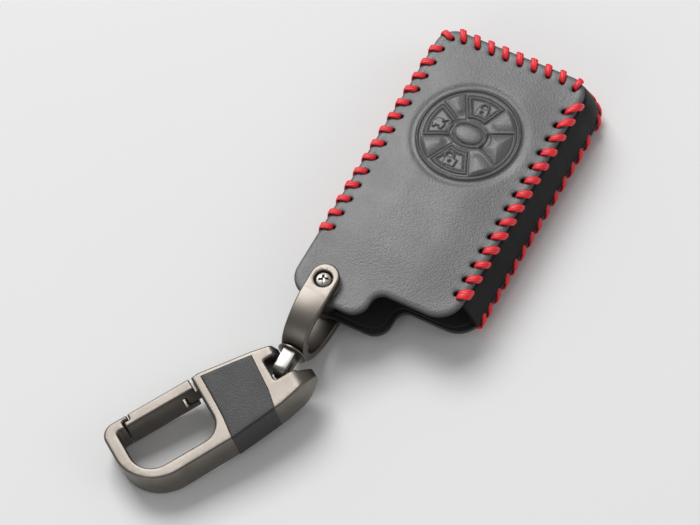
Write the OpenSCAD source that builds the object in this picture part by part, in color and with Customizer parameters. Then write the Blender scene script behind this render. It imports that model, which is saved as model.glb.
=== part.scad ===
// Key fob cover: a stitched leather pouch with a metal shackle, swivel and spring hook.
// The pouch lies on its back. X runs across it, +Y points to its top edge, +Z up.
// The origin is on the flat back face that the pouch lies on, under the front panel's middle.

/* [Pouch] */
// Width of the front panel
pouch_w = 45.4; // [42:0.1:52]
// Length from the top edge to the end of the screw tab
pouch_l = 91; // [84:0.5:100]
// Height between the panels' outer faces at their edges
edge_h = 13.4; // [12:0.1:16]
// How far the back panel reaches past the front panel on each side
flare = 3.4; // [2:0.1:4]
// Radius of the panels' top corners
top_r = 5.6; // [5:0.1:8]
// Thickness of the outer leather
leather_t = 1.5; // [1.2:0.1:1.8]
// Thickness of the lining
lining_t = 0.5; // [0.4:0.1:0.8]

/* [Mouth] */
// Length of the screw tab past the mouth
tab_drop = 9; // [8:0.1:10]
// Width of the screw tab
tab_w = 23; // [21:0.1:25]
// Radius of the tab's outer corner
tab_r = 6.4; // [5:0.1:8]
// Radius of the tab's inner corner
tab_inner_r = 3.6; // [2.5:0.1:4]
// Radius of the step between the tab and the mouth
step_r = 2.2; // [1.5:0.1:3]
// Radius of the mouth's free corner
mouth_r = 5; // [4:0.1:7]
// How much shorter the mouth is at its free corner
mouth_rise = 1.6; // [0:0.1:3]
// How much shorter the back panel's tab is
back_tab_cut = 1.2; // [0.5:0.1:1.5]
// How much shorter the back panel's mouth is
back_mouth_cut = 3; // [2:0.1:4]
// How much wider the back panel's tab is
back_tab_extra = 4.2; // [3:0.1:5]
// How far the back panel's side draws in towards its tab
back_tab_draw = 3.4; // [2:0.1:3.6]

/* [Padding] */
// Height of the front panel's puffed middle over its edge
front_pad_h = 1.2; // [0.8:0.1:2]
// Distance from the front panel's edge to the foot of its puffed middle
front_pad_inset = 4.4; // [4:0.1:5]
// Width of the slope round the front panel's puffed middle
front_pad_slope = 3.6; // [3:0.1:4]
// Distance from the back panel's edge to the foot of its pad
back_pad_inset = 7; // [6.5:0.1:8]
// Width of the slope round the back pad
back_pad_slope = 3; // [2:0.1:4]

/* [Seams] */
// Distance of the stitch holes from the edge
hole_inset = 2.8; // [2.6:0.1:3.2]
// Distance between stitches along the sides
side_pitch = 4.8; // [4.6:0.1:5.2]
// Distance between stitches along the top
top_pitch = 4.36; // [4.2:0.02:4.5]
// Stitches on each long side
side_count = 14; // [13:1:14]
// Stitches along the top
top_count = 8; // [7:1:8]
// Radius of the waxed thread
thread_r = 0.8; // [0.5:0.05:0.9]
// How far the thread stands out from the corner that it wraps
thread_lift = 0.45; // [0.3:0.05:0.6]
// Lean of the stitches
stitch_lean = 38; // [20:1:42]

/* [Button field] */
// Radius of the embossed ring
ring_r = 14.2; // [13:0.1:15]
// Distance from the top edge to the ring's centre
ring_drop = 28.6; // [27:0.1:31]
// Width of an embossed line
line_w = 0.7; // [0.5:0.05:1]
// Height of an embossed line
line_h = 0.4; // [0.3:0.05:0.5]
// Length of the plain oval in the middle
oval_l = 10; // [9:0.1:11]
// Width of the plain oval in the middle
oval_w = 6.8; // [6:0.1:7.5]

/* [Corner screw] */
// Distance of the screw from the front panel's side edge
screw_in = 9.3; // [8.5:0.1:11]
// Distance of the screw from the end of the tab
screw_up = 4.9; // [4.8:0.1:6]
// Radius of the screw's shank
screw_r = 2; // [1.5:0.05:2.1]
// Radius of the screw's head
head_r = 2.7; // [2.5:0.05:2.9]
// Height of the screw's head
head_h = 0.9; // [0.7:0.05:1.1]
// Wall of the eyelets and of the spacer
eyelet_wall = 0.5; // [0.4:0.05:0.7]
// Radius of the front eyelet's flange
front_flange_r = 4.6; // [4.2:0.1:4.8]
// Radius of the back eyelet's flange
back_flange_r = 3.4; // [3.1:0.1:3.6]
// Thickness of the eyelets' flanges
flange_t = 0.4; // [0.3:0.05:0.5]
// Running clearance round the screw and the other pins
run_gap = 0.05; // [0.03:0.01:0.08]

/* [Shackle] */
// Distance from the screw to the outside of the bow
shackle_reach = 19; // [18:0.1:24]
// Thickness of the shackle's strip
strip_t = 2.4; // [2.2:0.1:2.6]
// Width of the strip round the screw
strip_w = 8.4; // [8:0.1:9]
// Width of the strip at the bow
bow_w = 6.9; // [6.8:0.1:8]
// How far the legs' rounded ends reach past the screw's middle
tip_extra = 0.7; // [0.3:0.1:1]
// Gap between the shackle's legs and the eyelets
leg_gap = 0.1; // [0.05:0.01:0.2]
// Gap between the shackle and the surface that the pouch lies on
floor_gap = 0.3; // [0.2:0.05:0.5]

/* [Swivel] */
// Radius of the swivel stem
stem_r = 1.8; // [1.6:0.05:1.9]
// Radius of the round head inside the bow
swivel_head_r = 3.2; // [3:0.1:3.2]
// Thickness of the round head inside the bow
swivel_head_h = 1.5; // [1.2:0.1:1.7]
// Depth of the flat seat under that head
seat_depth = 0.8; // [0.75:0.05:0.95]
// Radius of the washer outside the bow
washer_r = 4.1; // [3.8:0.1:4.3]
// Thickness of the washer
washer_t = 0.6; // [0.4:0.05:0.8]
// Distance from the washer to the link pin
link_l = 4.8; // [4.8:0.1:6]
// Width of the link
link_w = 3.4; // [3.2:0.1:3.5]
// Height of the link
link_h = 5.6; // [5.4:0.1:6]
// Distance from the link pin to the link's rounded tip
link_tip = 3.2; // [3.1:0.1:3.3]

/* [Hook] */
// Thickness of the hook
hook_t = 10.5; // [10.3:0.1:10.8]
// Turn of the hook to the side as it lies
hook_yaw = 33; // [20:1:33]
// Half of the side play of the link on its pin
yaw_play = 36; // [35:1:36]
// Distance from the link's middle line to the hook's gate side at its head
head_left = 5.4; // [5.2:0.1:5.6]
// Distance from the link's middle line to the hook's gate side at the near end of the leather band
near_left = 6.7; // [6.4:0.1:7]
// Distance from the link's middle line to the hook's gate side at the far end of the leather band
far_left = 9; // [8.8:0.1:9.4]
// Distance from the link's middle line to the hook's closed side at its head
head_right = 10.4; // [10:0.1:10.8]
// Distance from the link's middle line to the hook's closed side at the near end of the leather band
near_right = 11.6; // [11.2:0.1:12]
// Distance from the link's middle line to the hook's closed side at the far end of the leather band
far_right = 13.1; // [12.8:0.1:13.3]
// Distance from the link's middle line to the loop's closed side
loop_side = 13.4; // [13.3:0.1:13.8]
// Distance from the link's middle line to the gate's outer side
gate_side = 8.8; // [8.6:0.1:9.2]
// Width of the hook's bar
bar_w = 3.8; // [3.6:0.1:4.2]
// Radius of the hook's large far corner
big_r = 12.6; // [11:0.1:13]
// Radius of the hook's small far corner
small_r = 3.8; // [3.2:0.1:4.2]
// Length of the loop's opening
loop_l = 24.2; // [23:0.1:26]
// Radius of the loop's inner corner at the band end
loop_r = 5.4; // [5:0.1:5.8]
// Radius of the loop's inner far corner on the closed side
loop_far_r = 7; // [6:0.1:7.5]
// Radius of the loop's inner far corner on the gate side
loop_small_r = 0.8; // [0.6:0.1:1]
// Half of the width of the slot for the link
slot_half = 3.3; // [3.2:0.05:3.4]
// How far the slot lies towards the closed side
slot_shift = 1; // [0.8:0.05:1.1]
// Distance from the link pin to the closed end of the slot
slot_in = 3.5; // [3.3:0.05:3.8]
// Distance from the link pin to the end of the short ear on the gate side
head_out = 2.4; // [2.2:0.1:2.5]
// Distance from the link pin to the end of the long ear on the closed side
ear_out = 6.6; // [6:0.1:6.8]
// Distance from the link's middle line to the long ear's inner wall at its end
ear_in = 4.9; // [4.7:0.1:5.2]
// Length of the slopes on the short ear's upper and lower edges
head_slope_l = 2.7; // [2.6:0.1:2.9]
// Height of those slopes
head_slope_h = 3.7; // [3.6:0.1:3.9]
// Length of the slopes on the long ear's upper and lower edges
ear_slope_l = 4.4; // [4:0.1:4.8]
// Height of those slopes
ear_slope_h = 3.2; // [2.8:0.1:3.6]
// Radius of the link pin
link_pin_r = 1.1; // [1:0.05:1.2]

/* [Leather band] */
// Distance from the link pin to the band's near end
band_start = 5.2; // [5:0.1:6]
// Length of the band
band_l = 15; // [14:0.1:15.5]
// How far the band's ends lean away from the head at the closed side
band_slant = 1.9; // [1:0.1:2.2]
// Metal between the band's far end and the loop
neck_l = 2.2; // [2:0.1:3]
// Thickness of the band's leather
band_t = 0.7; // [0.5:0.05:0.9]
// Width of the metal rim that is left beside the band on the gate side
rim_w = 1.1; // [0.8:0.1:1.5]

/* [Gate] */
// Width of the gate
gate_w = 3.3; // [3.2:0.1:3.5]
// Distance from the start of the loop to the gate pin
gate_pin_in = 2.7; // [2.6:0.1:3]
// Radius of the gate pin
gate_pin_r = 0.8; // [0.7:0.05:0.85]
// Height of the hook's tongue inside the gate
tongue_h = 4.8; // [4.5:0.1:5]
// Distance from the gate's nose to the far end of the loop's opening
latch_l = 2.9; // [2.6:0.1:3.4]
// Length of the step in the gate's nose
nose_step = 1.8; // [1.5:0.1:2]
// Gap between the gate and the hook
gate_gap = 0.25; // [0.2:0.01:0.3]
// Radius of the gate spring's wire
wire_r = 0.15; // [0.12:0.01:0.18]
// Turns of the gate spring
spring_turns = 2.5; // [1.5:0.5:2.5]

/* [Hidden] */
$fn = 64;

leather_colour = [0.13, 0.13, 0.14];
gusset_colour = [0.06, 0.06, 0.065];
lining_colour = [0.09, 0.09, 0.095];
thread_colour = [0.80, 0.07, 0.08];
metal_colour = [0.58, 0.54, 0.49];
pin_colour = [0.68, 0.66, 0.63];

// Overrun of every cut past the face that it opens
over = 1;
// Thickness of the thin slices that the padded shapes are stretched between
slice_t = 0.02;
// Steps in each quarter of a rounded outline
arc_steps = 8;

// Pouch outline
half_w = pouch_w / 2;
top_y = pouch_l / 2;
tab_y = -pouch_l / 2;
mouth_y = tab_y + tab_drop;
back_half = half_w + flare;
back_top_y = top_y + flare;
back_top_r = top_r + flare;

// Heights
back_edge_z = floor_gap + strip_t + leg_gap + flange_t;
front_edge_z = back_edge_z + edge_h;
back_in_z = back_edge_z + leather_t;
front_in_z = front_edge_z - leather_t;
shackle_top_z = front_edge_z + flange_t + leg_gap + strip_t;
mid_z = (floor_gap + shackle_top_z) / 2;

// Corner screw
screw_x = screw_in - half_w;
screw_y = tab_y + screw_up;
screw_hole_r = screw_r + run_gap;
eyelet_r = screw_hole_r + eyelet_wall;

// Seams
right_start_share = 0.7;
side_hole_x = half_w - hole_inset;
top_hole_y = top_y - hole_inset;
left_first_y = top_hole_y - side_pitch;
right_first_y = left_first_y - side_pitch * right_start_share;
row_shift_share = 0.18;
stitch_in = (hole_inset * hole_inset - 2 * thread_lift * thread_lift)
    / (2 * hole_inset + 4 * thread_lift);
stitch_r = (thread_lift + stitch_in) * sqrt(2);
gusset_end_y = left_first_y - side_pitch * side_count;

// Shackle and swivel
bow_r = (shackle_top_z - floor_gap) / 2;
bow_in_r = bow_r - strip_t;
bow_centre = shackle_reach - bow_r;
washer_y = screw_y - shackle_reach - run_gap;
link_y = washer_y - washer_t;
pin_y = link_y - link_l;
seat_y = screw_y - shackle_reach + strip_t - seat_depth;
stem_hole_r = stem_r + run_gap;
thread_core_r = stem_r / 2;

// Hook, drawn from the link pin towards -Y and then turned and lowered
head_share = 0.55;
head_low_share = 0.2;
loop_start = band_start + band_l + neck_l;
hook_l = loop_start + loop_l + bar_w;
gate_l = loop_l - gate_pin_in - latch_l;
hook_drop = mid_z - hook_t / 2;
hook_pitch = asin(hook_drop / hook_l);
gate_x = -gate_side + gate_w / 2;
gate_pin_y = -loop_start - gate_pin_in;
tongue_r = gate_w / 2 - gate_gap / 2;
nose_y = gate_pin_y - gate_l;
pin_left = head_left - link_pin_r / 2;
pin_right = head_right - link_pin_r / 4;
link_hole_r = link_pin_r + run_gap;

function arc(c, r, a0, a1, steps = arc_steps) =
    [for (i = [0:steps]) c + r * [cos(a0 + (a1 - a0) * i / steps), sin(a0 + (a1 - a0) * i / steps)]];

// Outline of a panel: half width, top edge, corner radius, tab end, tab side, mouth and
// how far the side with the tab draws in
function panel_outline(hw, ty, cr, ay, ax, my, draw = 0) = concat(
    arc([hw - cr, ty - cr], cr, 0, 90),
    arc([cr - hw, ty - cr], cr, 90, 180),
    [[-hw, gusset_end_y]],
    arc([tab_r - hw + draw, ay + tab_r], tab_r, 180, 270),
    arc([ax - tab_inner_r, ay + tab_inner_r], tab_inner_r, 270, 355),
    arc([ax + step_r, my - step_r], step_r, 175, 90),
    arc([hw - mouth_r, my + mouth_rise + mouth_r], mouth_r, 280, 360));

// Closed outline of a plain panel with rounded corners, grown or shrunk by "by"
function plain_outline(hw, ty, by, cr, inset) = concat(
    arc([hw - inset - cr, ty - inset - cr], cr, 0, 90),
    arc([inset + cr - hw, ty - inset - cr], cr, 90, 180),
    arc([inset + cr - hw, by + cr], cr, 180, 270),
    arc([hw - inset - cr, by + cr], cr, 270, 360));

front_outline = panel_outline(half_w, top_y, top_r, tab_y, tab_w - half_w, mouth_y);
back_outline = panel_outline(back_half, back_top_y, back_top_r, tab_y + back_tab_cut,
    tab_w - half_w + back_tab_extra, mouth_y + back_mouth_cut, back_tab_draw);

module slab(points, z, h) {
    translate([0, 0, z])
        linear_extrude(h) polygon(points);
}

module at_screw() {
    translate([screw_x, screw_y, 0]) children();
}

module screw_hole(r) {
    at_screw() translate([0, 0, -over])
        cylinder(r = r, h = shackle_top_z + 2 * over);
}

// Padded middle of the front panel
module front_pad() {
    foot = plain_outline(half_w, top_y, mouth_y + front_pad_inset, top_r, front_pad_inset);
    crest = plain_outline(half_w, top_y, mouth_y + front_pad_inset + front_pad_slope, top_r,
        front_pad_inset + front_pad_slope);
    hull() {
        slab(foot, front_edge_z - slice_t, slice_t);
        slab(crest, front_edge_z + front_pad_h - slice_t, slice_t);
    }
}

// Sector of a ring between two radii, centred on the angle "a"
function fan(r0, r1, half, a) = concat(
    arc([0, 0], r1, a - half, a + half, arc_steps),
    arc([0, 0], r0, a + half, a - half, arc_steps));

module fan_frame(a) {
    fan_out_r = ring_r - 2 * line_w;
    fan_in_r = oval_l / 2 + line_w;
    half = 32;
    difference() {
        linear_extrude(line_h + line_h) polygon(fan(fan_in_r, fan_out_r, half, a));
        translate([0, 0, -over])
            linear_extrude(line_h + 2 * over)
                polygon(fan(fan_in_r + line_w, fan_out_r - line_w, half - line_w * 6, a));
    }
}

// Raised ring, plain oval and four plain fan-shaped frames
module button_field() {
    translate([0, top_y - ring_drop, front_edge_z + front_pad_h - line_h]) {
        difference() {
            cylinder(r = ring_r, h = 2 * line_h);
            translate([0, 0, -over])
                cylinder(r = ring_r - line_w, h = 2 * line_h + 2 * over);
        }
        for (side = [-1, 1])
            translate([side * (oval_l - oval_w) / 2, 0, 0])
                cylinder(r = oval_w / 2, h = 2 * line_h);
        translate([-(oval_l - oval_w) / 2, -oval_w / 2, 0])
            cube([oval_l - oval_w, oval_w, 2 * line_h]);
        for (a = [0:90:270]) fan_frame(a);
    }
}

module front_panel() {
    color(leather_colour) {
        difference() {
            union() {
                slab(front_outline, front_in_z, leather_t);
                front_pad();
            }
            screw_hole(eyelet_r);
        }
        button_field();
    }
}

module back_pad() {
    foot_y = mouth_y + back_mouth_cut + back_pad_inset;
    foot = plain_outline(back_half, back_top_y, foot_y, top_r, back_pad_inset);
    crest = plain_outline(back_half, back_top_y, foot_y + back_pad_slope, top_r,
        back_pad_inset + back_pad_slope);
    hull() {
        slab(foot, back_edge_z, slice_t);
        slab(crest, 0, slice_t);
    }
}

module back_panel() {
    color(leather_colour)
        difference() {
            union() {
                slab(back_outline, back_edge_z, leather_t);
                back_pad();
            }
            screw_hole(eyelet_r);
        }
}

// Outline of a lining: a panel's outline drawn in past the gusset
function lining_outline(hw, ty, cr, ay, ax, my, draw = 0) = panel_outline(
    hw - leather_t - lining_t, ty - leather_t - lining_t, cr - leather_t,
    ay + leather_t, ax - leather_t, my + leather_t, draw);

module front_lining() {
    color(lining_colour)
        difference() {
            slab(lining_outline(half_w, top_y, top_r, tab_y, tab_w - half_w, mouth_y),
                front_in_z - lining_t, lining_t);
            screw_hole(eyelet_r);
        }
}

module back_lining() {
    color(lining_colour)
        difference() {
            slab(lining_outline(back_half - lining_t, back_top_y - lining_t, back_top_r,
                tab_y + back_tab_cut, tab_w - half_w + back_tab_extra,
                mouth_y + back_mouth_cut, back_tab_draw), back_in_z, lining_t);
            screw_hole(eyelet_r);
        }
}

// The sloped strip that joins the panels round three sides
module gusset_block(inset) {
    low_y = tab_y;
    hull() {
        slab(plain_outline(half_w, top_y, low_y, top_r - inset, inset),
            front_in_z - slice_t, slice_t);
        slab(plain_outline(back_half, back_top_y, low_y, back_top_r - inset, inset),
            back_in_z, slice_t);
    }
}

module gusset() {
    color(gusset_colour)
        difference() {
            gusset_block(0);
            gusset_block(leather_t);
            translate([-2 * half_w, tab_y - over, back_in_z - over])
                cube([4 * half_w, gusset_end_y - tab_y + over, edge_h + over]);
        }
}

// One loop of thread round the corner of a panel and the gusset, the corner at the origin,
// +X out of the pouch and +Z out of the panel
module stitch() {
    rotate([0, -45, 0]) rotate([stitch_lean, 0, 0]) rotate([0, 45, 0])
        translate([-stitch_in, 0, -stitch_in]) rotate([90, 0, 0])
            rotate_extrude() translate([stitch_r, 0]) circle(r = thread_r);
}

// Stitches along both sides, the top and the top corners of an edge "half" wide
module seam(half, top, radius, lean_shift) {
    corner = radius * (1 - sqrt(0.5));
    for (i = [0:side_count - 1]) {
        translate([-half, left_first_y - i * side_pitch - lean_shift, 0]) rotate([0, 0, 180]) stitch();
        translate([half, right_first_y - i * side_pitch + lean_shift, 0]) stitch();
    }
    for (i = [0:top_count - 1])
        translate([(i - (top_count - 1) / 2) * top_pitch - lean_shift, top, 0])
            rotate([0, 0, 90]) stitch();
    translate([-half + corner, top - corner, 0]) rotate([0, 0, 135]) stitch();
    translate([half - corner, top - corner, 0]) rotate([0, 0, 45]) stitch();
}

module front_seam_thread() {
    color(thread_colour)
        translate([0, 0, front_edge_z])
            seam(half_w, top_y, top_r, side_pitch * row_shift_share);
}

module back_seam_thread() {
    color(thread_colour)
        translate([0, 0, back_edge_z]) mirror([0, 0, 1])
            seam(back_half, back_top_y, back_top_r, -side_pitch * row_shift_share);
}

module ring(r_out, r_in, z, h) {
    translate([0, 0, z]) difference() {
        cylinder(r = r_out, h = h);
        translate([0, 0, -over]) cylinder(r = r_in, h = h + 2 * over);
    }
}

module front_eyelet() {
    color(metal_colour) at_screw() {
        ring(front_flange_r, screw_hole_r, front_edge_z, flange_t);
        ring(eyelet_r, screw_hole_r, front_in_z - lining_t, leather_t + lining_t);
    }
}

module back_eyelet() {
    color(metal_colour) at_screw() {
        ring(back_flange_r, screw_hole_r, back_edge_z - flange_t, flange_t);
        ring(eyelet_r, screw_hole_r, back_edge_z, leather_t + lining_t);
    }
}

// Tube that keeps the two panels apart round the screw
module corner_spacer() {
    color(metal_colour) at_screw()
        ring(eyelet_r + eyelet_wall, screw_hole_r, back_in_z + lining_t,
            front_in_z - back_in_z - 2 * lining_t);
}

// Side view of the strip: X along the shackle from the screw, Y up
module strip_profile(r, tail) {
    translate([bow_centre, 0]) circle(r = r);
    translate([-tail, -r]) square([bow_centre + tail, 2 * r]);
}

module strip_solid() {
    translate([strip_w / 2, 0, mid_z]) rotate([0, 0, -90]) rotate([90, 0, 0])
        difference() {
            linear_extrude(strip_w) strip_profile(bow_r, strip_w / 2 + tip_extra + over);
            translate([0, 0, -over])
                linear_extrude(strip_w + 2 * over) strip_profile(bow_in_r, strip_w + tip_extra + over);
        }
}

module shackle() {
    tip_r = strip_w / 2;
    end_r = bow_w / 2;
    plan = concat(arc([0, tip_extra], tip_r, 0, 180, 2 * arc_steps),
        [[-end_r, -bow_centre], [-end_r, -shackle_reach - over],
            [end_r, -shackle_reach - over], [end_r, -bow_centre]]);
    color(metal_colour) at_screw()
        difference() {
            intersection() {
                strip_solid();
                translate([0, 0, floor_gap - over])
                    linear_extrude(shackle_top_z + 2 * over) polygon(plan);
            }
            translate([0, 0, -over]) cylinder(r = screw_r, h = shackle_top_z + 2 * over);
            translate([0, 0, shackle_top_z - head_h]) cylinder(r = head_r + run_gap, h = head_h + over);
            translate([0, over - shackle_reach + strip_t, mid_z]) rotate([90, 0, 0])
                cylinder(r = stem_hole_r, h = strip_t + 2 * over);
            translate([0, bow_r - shackle_reach, mid_z]) rotate([90, 0, 0])
                cylinder(r = swivel_head_r + 2 * run_gap, h = bow_r - strip_t + seat_depth);
        }
}

// Screw with a cross recess, through both legs and the pouch's corner
module shackle_screw() {
    slot_l = head_r * 1.3;
    slot_w = head_r / 5;
    color(pin_colour) at_screw()
        difference() {
            union() {
                translate([0, 0, floor_gap]) cylinder(r = screw_r, h = shackle_top_z - floor_gap - head_h);
                translate([0, 0, shackle_top_z - head_h]) cylinder(r = head_r, h = head_h);
            }
            for (a = [0, 90])
                rotate([0, 0, a]) translate([-slot_l / 2, -slot_w / 2, shackle_top_z - head_h / 2])
                    cube([slot_l, slot_w, head_h]);
        }
}

// Turns a piece drawn along +Z to lie along -Y at the given distance on the swivel's axis
module on_swivel(y) {
    translate([screw_x, y, mid_z]) rotate([90, 0, 0]) children();
}

// Slotted head inside the bow with its threaded core
module swivel_screw() {
    head_y = seat_y + run_gap + swivel_head_h;
    slot_w = swivel_head_h / 2;
    color(pin_colour) on_swivel(head_y)
        difference() {
            union() {
                cylinder(r = swivel_head_r, h = swivel_head_h);
                cylinder(r = thread_core_r, h = head_y - link_y);
            }
            translate([-swivel_head_r - over, -slot_w / 2, -over])
                cube([2 * swivel_head_r + 2 * over, slot_w, over + swivel_head_h / 2]);
        }
}

module swivel_washer() {
    color(metal_colour) on_swivel(washer_y)
        ring(washer_r, stem_hole_r, 0, washer_t);
}

// Stem through the bow and washer, and the flat link with its waisted eye
module swivel_link() {
    plan_in = link_tip - link_w / 2;
    side_in = link_tip - link_h / 2;
    waist = link_hole_r / cos(yaw_play);
    wide = link_w / 2 + over;
    mouth = waist + wide * tan(yaw_play);
    eye = [[-wide, -mouth], [0, -waist], [wide, -mouth], [wide, mouth], [0, waist], [-wide, mouth]];
    color(pin_colour) {
        difference() {
            on_swivel(seat_y) cylinder(r = stem_r, h = seat_y - link_y);
            on_swivel(seat_y + over) cylinder(r = thread_core_r, h = seat_y - link_y + over);
        }
        translate([screw_x, pin_y, mid_z])
            difference() {
                intersection() {
                    translate([0, -plan_in, -link_h / 2]) union() {
                        cylinder(r = link_w / 2, h = link_h);
                        translate([-link_w / 2, 0, 0]) cube([link_w, link_l + plan_in, link_h]);
                    }
                    translate([-link_w, -side_in, 0]) rotate([0, 90, 0]) union() {
                        cylinder(r = link_h / 2, h = 2 * link_w);
                        translate([-link_h / 2, 0, 0]) cube([link_h, link_l + side_in, 2 * link_w]);
                    }
                }
                translate([0, 0, -link_hole_r]) linear_extrude(2 * link_hole_r) polygon(eye);
            }
    }
}

// Places a piece drawn from the link pin towards -Y with the hook as it lies
module at_hook() {
    translate([screw_x, pin_y, mid_z]) rotate([hook_pitch, 0, -hook_yaw]) children();
}

module link_pin() {
    color(pin_colour)
        at_hook() translate([-pin_left, 0, 0]) rotate([0, 90, 0])
            cylinder(r = link_pin_r, h = pin_left + pin_right);
}

// Outline of the hook from the link pin towards -Y, the gate side on the left
hook_outline = concat(
    [[ear_in, ear_out], [-head_left * head_share, head_out], [-head_left, head_out * head_low_share],
        [-near_left, -band_start], [-far_left, -band_start - band_l], [-gate_side, -loop_start + gate_gap]],
    arc([small_r - gate_side, small_r - hook_l], small_r, 180, 265),
    arc([loop_side - big_r, big_r - hook_l], big_r, 275, 360),
    [[far_right, -band_start - band_l], [near_right, -band_start], [head_right, 0],
        [head_right * (1 + head_share) / 2 + link_pin_r, ear_out * head_share],
        [(ear_in + head_right) / 2, ear_out]]);

// The leather band's stretch of the hook, from the rim on the gate side out to "side"
function band_outline(side) =
    let (near = -band_start, far = -band_start - band_l)
    [[rim_w - near_left, near], [0, near - band_slant * 0.22], [near_right / 2, near - band_slant * 0.42],
        [near_right, near - band_slant], [side, near - band_slant],
        [side, far - band_slant * 0.6], [far_right, far - band_slant * 0.6],
        [far_right / 2, far - band_slant * 0.2], [0, far - band_slant * 0.05], [rim_w - far_left, far]];

// Opening of the loop, out to the gate's inner side
module loop_cut() {
    inner_x = gate_w - gate_side;
    right_x = loop_side - bar_w;
    far_y = -loop_start - loop_l;
    translate([0, 0, -hook_t]) linear_extrude(2 * hook_t)
        polygon(concat(
            [[-gate_side - over, -loop_start], [-gate_side - over, nose_y + nose_step - gate_gap],
                [-gate_side + gate_w / 2 - gate_gap, nose_y + nose_step - gate_gap],
                [-gate_side + gate_w / 2 - gate_gap, nose_y - gate_gap], [inner_x, nose_y - gate_gap]],
            arc([inner_x + loop_small_r, far_y + loop_small_r], loop_small_r, 180, 265),
            arc([right_x - loop_far_r, far_y + loop_far_r], loop_far_r, 275, 360),
            arc([right_x - loop_r, -loop_start - loop_r], loop_r, 0, 90)));
}

module hook_blank() {
    translate([0, 0, -hook_t / 2]) linear_extrude(hook_t) polygon(hook_outline);
}

// Slot for the link, flared at its mouth by the link's side play on the gate side
module link_slot() {
    mouth = ear_out + over;
    side = (link_w / 2 + 2 * gate_gap) / cos(yaw_play);
    left = slot_half - slot_shift;
    right = slot_half + slot_shift;
    start = (left - side) / tan(yaw_play);
    wide = left + (mouth - start) * tan(yaw_play);
    translate([0, 0, -hook_t]) linear_extrude(2 * hook_t)
        polygon([[-left, -slot_in], [right, -slot_in], [right, head_out], [ear_in, head_out + ear_in - right],
            [ear_in, mouth], [-wide, mouth], [-left, start]]);
}

// Space beyond the short ear, which the long ear passes on its other side
module ear_cut() {
    translate([-far_left, head_out, -hook_t])
        cube([far_left + ear_in, ear_out - head_out + over, 2 * hook_t]);
}

// Slope on the upper edge of an ear that ends at "out", between two sides
module head_slope(x0, x1, out, slope_l, slope_h) {
    cut_l = slope_l + over;
    translate([x0, out, hook_t / 2]) rotate([90, 0, 90])
        linear_extrude(x1 - x0)
            polygon([[over, over], [-cut_l, over], [-slope_l, 0], [0, -slope_h], [over, -slope_h]]);
}

module head_slopes() {
    head_slope(-far_left, slot_half + slot_shift - over / 2, head_out, head_slope_l, head_slope_h);
    head_slope(slot_half, far_right, ear_out, ear_slope_l, ear_slope_h);
}

module hook_frame() {
    spring_cut_r = gate_pin_r + run_gap + 3.5 * wire_r;
    color(metal_colour) at_hook()
        difference() {
            union() {
                difference() {
                    hook_blank();
                    loop_cut();
                    band_hollow();
                }
                translate([gate_x, gate_pin_y, -tongue_h / 2]) cylinder(r = tongue_r, h = tongue_h);
                translate([gate_x - tongue_r, gate_pin_y, -tongue_h / 2])
                    cube([2 * tongue_r, -loop_start - gate_pin_y + over, tongue_h]);
            }
            link_slot();
            ear_cut();
            for (side = [0, 1]) mirror([0, 0, side]) head_slopes();
            translate([-far_left, 0, 0]) rotate([0, 90, 0]) cylinder(r = link_hole_r, h = far_left + far_right);
            translate([gate_x, gate_pin_y, -hook_t]) cylinder(r = gate_pin_r, h = 2 * hook_t);
            translate([gate_x, gate_pin_y, 0]) cylinder(r = spring_cut_r, h = hook_t);
        }
}

// Metal inside the band's top, closed side and bottom
module band_core() {
    translate([-band_t, 0, band_t - hook_t / 2]) linear_extrude(hook_t - 2 * band_t) polygon(hook_outline);
}

module band_stretch() {
    translate([0, 0, -hook_t]) linear_extrude(2 * hook_t) polygon(band_outline(2 * far_right));
}

// Space that the leather band takes from the hook
module band_hollow() {
    difference() {
        band_stretch();
        band_core();
    }
}

module leather_band() {
    color(leather_colour) at_hook()
        difference() {
            intersection() {
                hook_blank();
                band_stretch();
            }
            band_core();
        }
}

module gate_pin() {
    color(pin_colour) at_hook()
        translate([gate_x, gate_pin_y, -hook_t / 2]) cylinder(r = gate_pin_r, h = hook_t);
}

// Centre line of the coil round the gate pin, in the pocket of the hook's tongue
coil_r = gate_pin_r + run_gap + 1.5 * wire_r;
coil_rise = tongue_h / 2 - 3 * wire_r;
coil_sides = 6;
coil_steps = 12 * spring_turns;
function coil_point(i) =
    let (a = 360 * spring_turns * i / coil_steps) [coil_r * cos(a), coil_r * sin(a), coil_rise * i / coil_steps];
coil_gap = min([for (i = [0:coil_steps], j = [i + 6:coil_steps]) norm(coil_point(i) - coil_point(j))]) - 2 * wire_r;
echo("least gap of the gate spring to itself in mm", coil_gap);

module gate_spring() {
    function ring_points(i) =
        let (a = 360 * spring_turns * i / coil_steps)
        [for (k = [0:coil_sides - 1])
            let (t = 360 * k / coil_sides)
            coil_point(i) + wire_r * [cos(a) * cos(t), sin(a) * cos(t), sin(t)]];
    points = [for (i = [0:coil_steps]) each ring_points(i)];
    last = coil_steps * coil_sides;
    walls = [for (i = [0:coil_steps - 1], k = [0:coil_sides - 1])
        let (n = (k + 1) % coil_sides, p = i * coil_sides, q = p + coil_sides)
        each [[p + k, q + k, q + n], [p + k, q + n, p + n]]];
    ends = [for (k = [1:coil_sides - 2]) each [[0, k, k + 1], [last, last + k + 1, last + k]]];
    color(pin_colour) at_hook()
        translate([gate_x, gate_pin_y, 1.5 * wire_r]) polyhedron(points, concat(walls, ends));
}

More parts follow.
